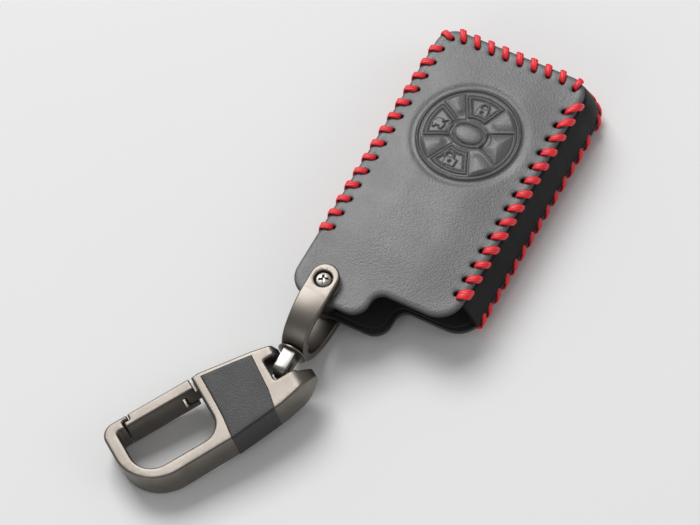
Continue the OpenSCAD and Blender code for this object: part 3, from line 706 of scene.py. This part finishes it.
def make_front_leather(material):
    outline = panel_outline(HALF_W, TOP_Y, TOP_R, TAB_Y, STEP_X, MOUTH_Y)
    loops, centres = stitch_holes(front_places(), LEAN)
    foot = MOUTH_Y - 2
    middle_y, half_l = (TOP_Y + foot) / 2, (TOP_Y - foot) / 2

    def top(x, y):
        aside, ahead = HALF_W - np.abs(x), half_l - np.abs(y - middle_y)
        rise = [smooth((deep - PAD_START) / PAD_SLOPE) for deep in (aside, ahead)]
        z = FRONT_Z + PAD_H * rise[0] * rise[1]
        z += WAVE_H * np.sin(x * 0.21 + 0.6) * np.sin(y * 0.17 + 1.1)
        z += front_relief(x, y) - dents(x, y, centres, DENT_H, DENT_R)
        edge = signed_depth(np.stack([x, y], axis=1), outline)
        return z - EDGE_DROP * smooth((EDGE_DROP_W - edge) / EDGE_DROP_W)

    def ring_points(reach, step):
        points = grid_points(-reach, reach, RING_Y - reach, RING_Y + reach, step)
        return points, np.hypot(points[:, 0], points[:, 1] - RING_Y)

    coarse, edge = strip_points(outline, (-24, 24, -47, 47), 0.9, 0.46)
    coarse = coarse[np.hypot(coarse[:, 0], coarse[:, 1] - RING_Y) > RING_MESH_R]
    middle, ring = ring_points(RING_MESH_R, 0.45)
    inside = signed_depth(middle, outline) > STRIP_W
    middle = middle[inside & (ring > RING_FINE_R) & (ring <= RING_MESH_R)]
    fine, ring = ring_points(RING_FINEST_R, 0.18)
    points = np.vstack([coarse, middle, edge, fine[ring <= RING_FINEST_R]])
    verts, faces = plate(outline, loops + [circle(*SCREW, PANEL_HOLE_R, 24)], top, flat(FRONT_IN_Z),
                         PANEL_EDGE_R, points, step=0.7, under_radius=PANEL_UNDER_R)
    new_piece("front_leather", verts, faces, material, "pouch", ("front_panel",), 60)


def front_places():
    return stitch_places(HALF_W, TOP_Y, TOP_R, LEAN, (66.0, 148.0))


def back_places():
    corners = (4.0, 32.0, 60.0, 87.0, 93.0, 120.0, 148.0, 176.0)
    return stitch_places(BACK_HALF, BACK_TOP, BACK_R, -LEAN, corners)


def make_back_leather(material):
    """The back panel, worked out upside down: its outer face is the plate's top."""
    outline = panel_outline(BACK_HALF, BACK_TOP, BACK_R, BACK_TAB_Y, BACK_STEP_X, BACK_MOUTH_Y, FLARE)
    loops, centres = stitch_holes([place for place in back_places() if place[-1] < LAST_SIDE], LEAN_OUT)
    middle_y, half_l = (BACK_TOP + BACK_MOUTH_Y) / 2, (BACK_TOP - BACK_MOUTH_Y) / 2

    def outside(x, y):
        pad = box_depth(x, y, 0, middle_y, BACK_HALF, half_l, BACK_R)
        rise = BACK_Z * smooth((pad - BACK_PAD_INSET) / BACK_PAD_SLOPE)
        return rise - BACK_Z - dents(x, y, centres, BACK_DENT_H, BACK_DENT_R)

    points = np.vstack(strip_points(outline, (-27, 27, -46, 50), 1.0, 0.55))
    verts, faces = plate(outline, loops + [circle(*SCREW, PANEL_HOLE_R, 24)], outside, flat(-BACK_IN_Z),
                         PANEL_EDGE_R, points, step=0.8, under_radius=PANEL_UNDER_R)
    verts = [(x, y, -z) for x, y, z in verts]
    faces = [f[::-1] for f in faces]
    new_piece("back_leather", verts, faces, material, "pouch", ("back_panel",), 60)


def gusset_path():
    """Places from the lower left round the top to the lower right, each with its outward turn."""
    step, bend_steps = 0.8, 14
    left = [(-CORNER_X, y, 180.0) for y in np.arange(GUSSET_END, CORNER_Y, step)]
    top = [(x, CORNER_Y, 90.0) for x in np.arange(-CORNER_X + step, CORNER_X, step)]
    right = [(CORNER_X, y, 0.0) for y in np.arange(CORNER_Y - step, GUSSET_END, -step)]
    near, far = ([(x, CORNER_Y, a) for a in np.linspace(turn, turn - 90, bend_steps + 1)]
                 for x, turn in ((-CORNER_X, 180), (CORNER_X, 90)))
    return left + near + top + far + right[:-1] + [(CORNER_X, GUSSET_END, 0.0)]


def make_gusset(material):
    """A strip with soft edges that bulges a little, and is drawn in where the stitches pull."""
    bulge, pull_h, pull_w, soft_h, soft_w, overlap = 0.35, 0.07, 0.12, 0.45, 0.05, 0.02
    up, down = np.linspace(0, 1, 15), np.linspace(1, 0, 15)
    section = [(v, 0.0) for v in up] + [(1.0, 0.5)] + [(v, 1.0) for v in down] + [(0.0, 0.5)]
    rows, run, last = [], 0.0, None
    for x, y, turn in gusset_path():
        out, _ = ways(turn)
        here = np.array([x, y]) + out * TOP_R
        run += 0 if last is None else float(np.linalg.norm(here - last))
        last = here
        pull = pull_h * cos(2 * pi * run / PITCH)
        row = []
        for v, deep in section:
            outer = TOP_R + FLARE * (1 - v) + bulge * sin(pi * v)
            outer += pull * (exp(-((v - 0.9) / pull_w) ** 2) - exp(-((v - 0.12) / pull_w) ** 2))
            outer -= soft_h * max(0.0, 1 - min(v, 1 - v) / soft_w) ** 2 * (1 - deep)
            radius = outer - GUSSET_T * deep
            z = BACK_IN_Z - overlap + (FRONT_IN_Z - BACK_IN_Z + 2 * overlap) * v
            row.append((x + out[0] * radius, y + out[1] * radius, z))
        rows.append(row)
    verts, faces = loft(rows)
    new_piece("gusset_leather", verts, faces, material, "pouch", ("gusset",), 70)


def make_linings(material):
    inset, corner, thick, gap, soft = 1.5, 1.4, 0.5, 0.03, 0.12
    hole = circle(*SCREW, 3.2, 24)
    front = panel_outline(HALF_W - inset, TOP_Y - inset, TOP_R - corner, TAB_Y + inset, STEP_X - inset,
                          MOUTH_Y + 1.2)
    back = panel_outline(BACK_HALF - inset, BACK_TOP - inset, BACK_R - corner, BACK_TAB_Y + corner,
                         BACK_STEP_X - corner, BACK_MOUTH_Y + 0.7, FLARE)
    for name, node, low, high, outline in (
            ("front_lining_cloth", "front_lining", FRONT_IN_Z - thick, FRONT_IN_Z - gap, front),
            ("back_lining_cloth", "back_lining", BACK_IN_Z + gap, BACK_IN_Z + thick, back)):
        x0, x1, y0, y1 = outline_box(outline)
        verts, faces = plate(outline, [hole], flat(high), flat(low), soft, grid_points(x0, x1, y0, y1, 2.0),
                             step=1.5)
        piece = new_piece(name, verts, faces, material, "pouch", (node,), 60)


# One stitch in its own plane, from inside the hole over the edge to the gusset: out and up
STITCH_LINE = [(-1.95, -1.35), (-2.12, -0.6), (-2.08, 0.02), (-1.65, 0.34), (-0.9, 0.46), (-0.15, 0.40),
               (0.30, 0.12), (0.50, -0.4), (0.54, -0.95), (0.50, -1.5), (0.30, -2.1), (-0.3, -2.7)]
STITCH_WIDTH = [0.70, 0.80, 0.92, 1.02, 1.08, 1.10, 1.08, 1.06, 1.03, 0.98, 0.90, 0.7]
STITCH_STEPS = 26
# by side: width, shift along the edge on it and at the gusset, extra inner length, and how far it stands out
STITCHES = {"left": (0.84, 1.1, 1.7, 0.5, 0.35), "right": (0.98, 2.7, 4.0, 0.0, 1.0),
            "top": (0.88, 1.8, 2.2, 0.4, 0.7), "near_top": (0.88, 0.6, 1.5, 0.25, 0.8),
            "near_left": (0.84, 0.7, 1.2, 0.4, 0.4)}

# the back's stitches are flatter and move alike; a double stitch ends the front's right side
THREAD_HALF_T, BACK_HALF_T = 0.48, 0.42
BACK_NARROW = 0.84
BACK_MOVES = (1.3, 3.4, 0.8)
MOVE_SHARES = (0, 0.16, 0.52, 0.88, 1)
BACK_INNER_W, BACK_LAST_W = -0.9, -0.35
BACK_LAST_U = -0.45


def add_stitch(parts, number, place, face_z, front, start):
    x, y, turn, side, i = place
    out, along = (np.array([*way, 0]) for way in ways(turn))
    up = np.array([0, 0, 1 if front else -1])
    last = i == LAST_SIDE
    wobble = sin(number * 12.9898)
    share = np.linspace(0, 1, STITCH_STEPS)
    width = np.interp(share, np.linspace(0, 1, len(STITCH_WIDTH)), STITCH_WIDTH)
    wide, edge, end, longer, stand = STITCHES[side]
    width = width * (1 + 0.06 * sin(number * 7.3)) * wide * (1.0 if front else BACK_NARROW)
    less = 0.56 * min(i, 2.5) if side == "right" else 0.12 * i if side == "top" else 0.0
    edge, end = edge - less, end - less
    if not front:
        edge, end, stand = BACK_MOVES
    shift = np.interp(share, MOVE_SHARES, [0, 0, edge, end, end]) * (1 + 0.07 * wobble) - start
    path = []
    for (u, w), move in zip(smooth_path(STITCH_LINE, STITCH_STEPS), shift):
        u *= stand if u > 0 else 1.0
        u -= longer * smooth((-0.5 - u) / 1.4)
        if not front:
            # the inner end stays in the leather, and the outer one leans in under the panel
            if u < -1.0:
                w = max(w, BACK_LAST_W if last else BACK_INNER_W)
            u -= 0.45 * max(0.0, -w - 0.6)
            if last and w < -1:
                u = max(u, BACK_LAST_U)
        path.append(np.array([x, y, face_z]) + out * u + up * w + along * move)
    path = np.array(path)
    half_t = THREAD_HALF_T if front else BACK_HALF_T
    thick = np.full(STITCH_STEPS, half_t) * (1 + 0.04 * wobble) * (0.6 + 0.4 * stand)
    parts.append(thread(path, along, width, thick, turn=number * 1.7))
    if side == "right" and last and front:
        double = path + along * -0.95 + up * 0.22 + out * 0.08
        parts.append(thread(double, along, width * 0.92, thick * 0.9, turn=2.0))


def make_stitches(material):
    for name, node, places, face_z, front, start in (
            ("front_stitches", "front_seam_thread", front_places(), FRONT_Z, True, LEAN),
            ("back_stitches", "back_seam_thread", back_places(), BACK_Z, False, LEAN_OUT)):
        parts = []
        for number, place in enumerate(places):
            add_stitch(parts, number, place, face_z, front, start)
        verts, faces = joined([part[:2] for part in parts])
        wrap = [pair for part in parts for pair in part[2]]
        new_piece(name, verts, faces, material, "pouch", (node,), 80, wrap)


# Metal and the hook

# shackle: its ends round the screw and the bow between them
SHACKLE_TOP = 19.5
SHACKLE_LOW = 0.3
STRIP_T = 2.4
STRIP_EDGE_R = 0.5
TIP_R = 4.05
TIP_EXTRA = 0.7
BOW_R = 9.6
BOW_Y = -50.0
BOW_FROM = -44.3
BOW_POWER = 2.45
BOW_HALF = 3.45
BOW_STEPS = 72
END_OVERLAP = 1.1
HEAD_R = 2.2
SHANK_R = 1.9

# hook: its own frame starts at the cross pin and runs to -Y
PIN = np.array([-13.4, -65.05, 9.9])
HOOK_YAW = radians(33)
HOOK_PITCH = radians(5.293746)
HOOK_HALF_T = 5.25
LOOP_START = 22.4
LOOP_L = 24.2
GATE_SIDE = 8.8
GATE_IN = 5.5
GATE_X = -7.15
GATE_PIN_Y = -25.1
GATE_BACK = 1.95
GATE_GAP = 0.25
NOSE_Y = -43.7
NOSE_L = 1.8
FORK_HALF = 2.525
FORK_L = 2.025
TONGUE_R = 1.5
TONGUE_HALF = 2.4
BAND_START = 5.2
BAND_L = 15.0
BAND_END = BAND_START + BAND_L
BAND_LEFT = (6.7, 9.0)
BAND_RIGHT = (11.6, 13.1)
BAND_RISE = 0.24
RIM_W = 1.1


def at_hook(points):
    p = np.array(points, float)
    c, s = cos(HOOK_PITCH), sin(HOOK_PITCH)
    y, z = p[:, 1] * c - p[:, 2] * s, p[:, 1] * s + p[:, 2] * c
    c, s = cos(HOOK_YAW), sin(HOOK_YAW)
    return np.stack([PIN[0] + p[:, 0] * c + y * s, PIN[1] - p[:, 0] * s + y * c, PIN[2] + z], axis=1)


def strip_section(half_w, half_t, radius, centre, across, outward):
    """Closed rounded rectangle across a strip."""
    row = []
    for cx, cz, a0 in ((1, 1, 0), (-1, 1, 90), (-1, -1, 180), (1, -1, 270)):
        for a in np.radians(np.linspace(a0, a0 + 90, 6)):
            row.append(centre + across * (cx * (half_w - radius) + radius * cos(a))
                       + outward * (cz * (half_t - radius) + radius * sin(a)))
    return row


def make_shackle(material):
    """Two round-ended ends with a hole each, and one strip that bows from one to the other."""
    x0, y0 = SCREW
    foot = BOW_FROM - END_OVERLAP
    plan = arc(x0, y0 + TIP_EXTRA, TIP_R, 0, 180, 26) + [(x0 - TIP_R, foot), (x0 + TIP_R, foot)]
    points = grid_points(x0 - 5, x0 + 5, BOW_FROM - 2, y0 + 6, 1.1)
    parts = []
    for low, hole_r in ((SHACKLE_TOP - STRIP_T, 2.5), (SHACKLE_LOW, 2.1)):
        parts.append(plate(plan, [circle(x0, y0, hole_r, 40)], flat(low + STRIP_T), flat(low), STRIP_EDGE_R,
                           points, step=0.6, under_step=1.3))
    reach, rise = BOW_FROM - (BOW_Y - BOW_R + STRIP_T / 2), SHACKLE_TOP - STRIP_T / 2 - MID_Z
    power = 2 / BOW_POWER
    rows = []
    for a in np.linspace(0, pi, BOW_STEPS + 1):
        c, s = cos(a), sin(a)
        up = rise * copysign(abs(c) ** power, c)
        middle = np.array([x0, BOW_FROM - reach * s ** power, MID_Z + up])
        lean = copysign(abs(c) ** (2 - power) / rise, c)
        outward = np.array([0, -max(s, 1e-6) ** (2 - power) / reach, lean])
        outward /= np.linalg.norm(outward)
        half = float(TIP_R + (BOW_HALF - TIP_R) * smooth(s ** power))
        rows.append(strip_section(half, STRIP_T / 2, STRIP_EDGE_R, middle, np.array([1.0, 0, 0]), outward))
    verts, faces = joined(parts + [loft(rows)])
    new_piece("shackle_strap", verts, faces, material, "shackle", ("shackle",), 50)


def make_screw_head(material):
    """Low head with a cross recess, on its shank."""
    x0, y0 = SCREW
    arm_half, arm_l, middle_r, recess, slope = 0.33, 1.35, 0.6, 0.9, 0.14
    edge_drop, dome_h, under, reach = 0.15, 0.35, 1.7, 2.4
    c, s = cos(0.5), sin(0.5)

    def top(x, y):
        dx, dy = x - x0, y - y0
        a, b = np.abs(dx * c + dy * s), np.abs(dy * c - dx * s)
        arm = np.maximum(np.minimum(arm_half - b, arm_l - a), np.minimum(arm_half - a, arm_l - b))
        depth = np.maximum(arm, middle_r - np.hypot(dx, dy))
        r = np.hypot(dx, dy) / HEAD_R
        return SHACKLE_TOP - edge_drop - dome_h * r * r - recess * smooth((depth + 0.02) / slope)

    points = grid_points(x0 - reach, x0 + reach, y0 - reach, y0 + reach, 0.075)
    head = plate(circle(x0, y0, HEAD_R, 48), [], top, flat(SHACKLE_TOP - under), 0.25, points, step=0.3,
                 under_radius=0.1)
    levels = (SHACKLE_LOW + 0.15, SHACKLE_LOW + 0.5, SHACKLE_TOP - 1.5)
    shank = loft([[(x, y, z) for x, y in circle(x0, y0, SHANK_R, 32)] for z in levels])
    verts, faces = joined([head, shank])
    new_piece("cross_screw", verts, faces, material, "shackle", ("shackle_screw",), 45)


def hook_outline():
    """Right ear and side, round end, nose step, the loop's inside, left side and left ear."""
    far = -LOOP_START - LOOP_L
    step_x, step_y, nose_y = GATE_X - GATE_GAP, NOSE_Y + NOSE_L - GATE_GAP, NOSE_Y - GATE_GAP
    outer = [(4.3, -3.5), (4.3, 2.4), (4.9, 3.0), (4.9, 6.6), (7.65, 6.6), (9.16, 3.63), (10.4, 0)]
    outer += [(BAND_RIGHT[0], -BAND_START), (BAND_RIGHT[1], -BAND_END)]
    outer += arc(0.8, -37.8, 12.6, 0, -85, 18)
    outer += arc(-5.0, far, 3.8, -95, -180, 8)
    outer += [(-GATE_SIDE, step_y), (step_x, step_y), (step_x, nose_y), (-GATE_IN, nose_y)]
    outer += arc(-4.7, far + 0.8, 0.8, 180, 265, 4)
    outer += arc(2.6, far + 7, 7, 275, 360, 12)
    outer += arc(4.2, -27.8, 5.4, 0, 90, 10)
    outer += [(-GATE_SIDE, -LOOP_START), (-GATE_SIDE, GATE_GAP - LOOP_START)]
    outer += [(-BAND_LEFT[1], -BAND_END), (-BAND_LEFT[0], -BAND_START)]
    outer += [(-5.4, 0.48), (-3.92, 1.65), (-2.3, -0.58), (-2.3, -3.5)]
    return outer


def hook_face(x, y):
    """Half height of the hook: its ears slope down to their ends."""
    short = smooth((y + 0.6) / 4.4) * 4.4
    long = np.clip((y - 0.6) / 6.0, 0, 1) ** 1.7 * 3.9
    return HOOK_HALF_T - np.where(x < 1.0, short, long)


def make_hook(material):
    """The hook's body, and the tongue that holds the gate's pin."""
    points = grid_points(-10, 14, -51, 7, 1.1)
    body = plate(soften(hook_outline(), 0.45), [], hook_face, lambda x, y: -hook_face(x, y), 0.62, points,
                 step=0.55, under_step=1.3)
    tongue = arc(GATE_X, GATE_PIN_Y, TONGUE_R, 180, 360, 16)
    tongue += [(GATE_X + TONGUE_R, 0.5 - LOOP_START), (GATE_X - TONGUE_R, 0.5 - LOOP_START)]
    inner = plate(tongue, [], flat(TONGUE_HALF), flat(-TONGUE_HALF), 0.2, grid_points(-9, -5, -27, -21, 0.8),
                  step=0.4)
    verts, faces = joined([body, inner])
    new_piece("hook_body", at_hook(verts), faces, material, "hook", ("hook_frame",), 50)


def cut_box(piece, low, high):
    """Cuts a box out of a piece, both in the hook's own frame."""
    corners = [(x, y, z) for x in (low[0], high[0]) for y in (low[1], high[1]) for z in (low[2], high[2])]
    sides = [(0, 1, 3, 2), (4, 6, 7, 5), (0, 4, 5, 1), (2, 3, 7, 6), (0, 2, 6, 4), (1, 5, 7, 3)]
    cutter = new_object("cutter", new_mesh("cutter", at_hook(corners), sides))
    cut = piece.modifiers.new("cut", "BOOLEAN")
    cut.operation = "DIFFERENCE"
    cut.solver = "EXACT"
    cut.object = cutter
    bpy.context.view_layer.update()
    result = bpy.data.meshes.new_from_object(piece.evaluated_get(bpy.context.evaluated_depsgraph_get()))
    piece.modifiers.remove(cut)
    piece.data = result
    bpy.data.objects.remove(cutter)
    shade_smooth(result, 40)


def make_gate(material):
    """Bar with a stepped nose, and a fork at its hinge."""
    back_y, step_y = GATE_PIN_Y + GATE_BACK, NOSE_Y + NOSE_L
    bar = [(-GATE_SIDE, back_y), (-GATE_SIDE, step_y), (GATE_X, step_y), (GATE_X, NOSE_Y), (-GATE_IN, NOSE_Y),
           (-GATE_IN, back_y)]
    verts, faces = plate(soften(bar, 0.35), [], flat(HOOK_HALF_T), flat(-HOOK_HALF_T), 0.5,
                         grid_points(-9, -5, -44, -23, 0.8), step=0.5, under_step=0.8)
    gate = new_piece("gate_bar", at_hook(verts), faces, material, "gate", ("gate",), 50)
    cut_box(gate, (-11, GATE_PIN_Y - FORK_L, -FORK_HALF), (-3, GATE_PIN_Y + 4, FORK_HALF))


def make_band(material):
    """Leather wrapped over the hook's top, closed side and bottom, with turned soft edges."""
    top, bend, side_turn, inner_t = HOOK_HALF_T, 0.55, 9.0, 0.5
    edge_drop, soft_w, swell = 0.10, 0.42, 0.05
    near_line, far_line = (BAND_START, 5.62, 6.0, 7.1), (BAND_END, 20.3, 20.58, 21.34)

    def edge_y(l, end, y_line):
        right = BAND_RIGHT[end]
        return -np.interp(min(l, right), [RIM_W - BAND_LEFT[end], 0, right / 2, right], y_line)

    shares = np.concatenate([[0, 0.012, 0.03, 0.06], np.linspace(0.1, 0.9, 13), [0.94, 0.97, 0.988, 1]])
    rows = []
    for s in shares:
        border = min(s, 1 - s) * BAND_L
        along = BAND_START + 0.5 + s * (BAND_L - 0.2)
        l0 = RIM_W - float(np.interp(along, [BAND_START, BAND_END], BAND_LEFT))
        l1 = float(np.interp(along, [BAND_START, BAND_END, 22.0], [*BAND_RIGHT, 13.2])) - bend
        spots = [(l0 + d, top, 0.0, 1.0, d)
                 for d in np.concatenate([[0, 0.1, 0.25, 0.5], np.linspace(1.0, l1 - l0, 16)])]
        for a in np.radians([75, 60, 45, 30, 15, 0]):
            c, sine = cos(a), sin(a)
            spots.append((l1 + bend * c, top - bend + bend * sine, c, sine, side_turn))
        for h in np.linspace(top - bend, 0, 6)[1:]:
            spots.append((l1 + bend, h, 1.0, 0.0, side_turn))
        lower = [(l, -h, nx, -nh, d) for l, h, nx, nh, d in spots[::-1][1:]]
        outer, inner = [], []
        for l, h, nx, nh, d in spots + lower:
            y = float(edge_y(l, 0, near_line) * (1 - s) + edge_y(l, 1, far_line) * s)
            rise = BAND_RISE * float(smooth(min(border, d) / soft_w)) - edge_drop
            rise += swell * sin(pi * s)
            outer.append((l + nx * rise, y, h + nh * rise))
            inner.append((l - nx * inner_t, y, h - nh * inner_t))
        rows.append(outer + inner[::-1])
    verts, faces = loft(rows)
    nodes = ("leather_band",)
    new_piece("hook_band_leather", at_hook(verts), faces, material, "hook", nodes, 60)


def dressed(node, name, material, body, slot, width, segments=2, sharp=45):
    """A copy of a hard solid with its edges rounded."""
    same_place, flat_bend, edge_bend = 2e-6, radians(1.0), radians(32)
    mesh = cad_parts[node].data.copy()
    mesh.name = name
    mesh.materials.clear()
    work = bmesh.new()
    work.from_mesh(mesh)
    bmesh.ops.remove_doubles(work, verts=work.verts, dist=same_place)
    bmesh.ops.dissolve_limit(work, angle_limit=flat_bend, verts=work.verts, edges=work.edges)
    edges = [e for e in work.edges if len(e.link_faces) == 2 and e.calc_face_angle() > edge_bend]
    bmesh.ops.bevel(work, geom=edges, offset=width * MM, offset_type="OFFSET", segments=segments, profile=0.5,
                    affect="EDGES", clamp_overlap=True)
    bmesh.ops.triangulate(work, faces=[f for f in work.faces if len(f.verts) > 4])
    bmesh.ops.recalc_face_normals(work, faces=work.faces)
    work.to_mesh(mesh)
    work.free()
    shade_smooth(mesh, sharp)
    place_piece(name, mesh, material, body, (node,))


def make_gate_pin(material):
    """A plain pin with its ends bevelled."""
    verts, faces = loft([[(x, y, z) for x, y in circle(GATE_X, GATE_PIN_Y, r, 32)]
                         for r, z in ((0.6, -5.1), (0.8, -4.9), (0.8, 4.9), (0.6, 5.1))])
    new_piece("gate_hinge_pin", at_hook(verts), faces, material, "hook", ("gate_pin",), 40)


def make_small_metal(satin, bright, spring):
    """Hard solids with their edges rounded: node, name, material, body, slot and the round's width."""
    for row in (("front_eyelet", "front_eyelet_ring", satin, "pouch", "satin_metal", 0.14),
                ("back_eyelet", "back_eyelet_ring", satin, "pouch", "satin_metal", 0.14),
                ("corner_spacer", "spacer_tube", satin, "pouch", "satin_metal", 0.1),
                ("swivel_screw", "slotted_screw", bright, "swivel", "bright_metal", 0.16),
                ("swivel_washer", "thin_washer", satin, "swivel", "satin_metal", 0.14),
                ("swivel_link", "eye_link", bright, "swivel", "bright_metal", 0.34, 3),
                ("link_pin", "cross_pin", bright, "pin", "bright_metal", 0.18),
                ("gate_spring", "gate_coil", spring, "hook", "spring_steel", 0.01, 1, 60)):
        dressed(*row)


# Light and floor

# the lamps' distance is in metres, the floor's half width in millimetres
LAMP_DISTANCE = 2.5
FLOOR_HALF = 12000.0


def area_light(name, direction, size, power):
    light = bpy.data.lights.new(name, "AREA")
    light.shape = "RECTANGLE"
    light.size, light.size_y = size
    light.energy = power
    lamp = new_object(name, light)
    way = Vector(direction).normalized()
    place = way.to_track_quat("Z", "Y").to_matrix().to_4x4()
    place.translation = CAMERA_AIM + way * LAMP_DISTANCE
    lamp.matrix_world = place


def make_studio():
    world = bpy.data.worlds.new("studio")
    bpy.context.scene.world = world
    world.use_nodes = True
    tree = world.node_tree
    feed(tree, tree.nodes["Background"], {"Color": (0.98, 0.99, 1.0, 1), "Strength": 0.32})
    corners = [(x * FLOOR_HALF, y * FLOOR_HALF, 0) for x, y in ((-1, -1), (1, -1), (1, 1), (-1, 1))]
    mesh = new_mesh("floor", corners, [(0, 1, 2, 3)])
    mesh.materials.append(floor_material())
    floor = new_object("floor", mesh)
    area_light("key", direction=(-0.45, 0.40, 0.80), size=(1.4, 1.3), power=45.0)
    area_light("side", direction=(0.85, 0.25, 0.6), size=(1.1, 1.1), power=4.0)
    area_light("front", direction=(-0.2, -0.9, 0.55), size=(1.1, 1.1), power=4.0)


make_camera()
bpy.context.scene.view_settings.view_transform = "Standard"
make_studio()
# painted sheen: the front's black leather is given a dark grey, lighter than the same leather on the gusset,
# for the sheen it shows in the light; edges=0.25 adds painted shade on its sides
grained = leather("grained_leather_look", dark=(0.060, 0.060, 0.063), light=(0.100, 0.100, 0.104),
                  rough=(0.40, 0.47), cell=0.44, depth=0.065, gloss=0.85, edges=0.25)
back_look = leather("back_leather_look", dark=(0.016, 0.016, 0.017), light=(0.030, 0.030, 0.032),
                    rough=(0.42, 0.50), cell=0.5, depth=0.08, gloss=0.5)
# painted shade: the gusset's copy of the black leather is made near-black for the shade it lies in
shaded_smooth_leather = leather("gusset_leather_look", dark=(0.003, 0.003, 0.003), light=(0.006, 0.006, 0.0065),
                         rough=(0.5, 0.6), cell=0.6, depth=0.05, gloss=0.2)
band_look = leather("band_leather_look", dark=(0.016, 0.016, 0.018), light=(0.036, 0.036, 0.039),
                    rough=(0.44, 0.52), cell=0.36, depth=0.06, gloss=0.5)
satin = metal("satin_metal_look", dark=(0.172, 0.153, 0.134), light=(0.215, 0.193, 0.171), rough=(0.35, 0.41))
bright = metal("bright_metal_look", dark=(0.26, 0.247, 0.23), light=(0.32, 0.305, 0.285), rough=(0.30, 0.36))
spring = metal("spring_steel_look", dark=(0.30, 0.30, 0.31), light=(0.40, 0.40, 0.41), rough=(0.24, 0.30))
make_front_leather(grained)
make_back_leather(back_look)
make_gusset(shaded_smooth_leather)
make_linings(lining_material())
make_stitches(thread_material())
make_shackle(satin)
make_screw_head(bright)
make_hook(satin)
make_gate(satin)
make_gate_pin(bright)
make_band(band_look)
make_small_metal(satin, bright, spring)
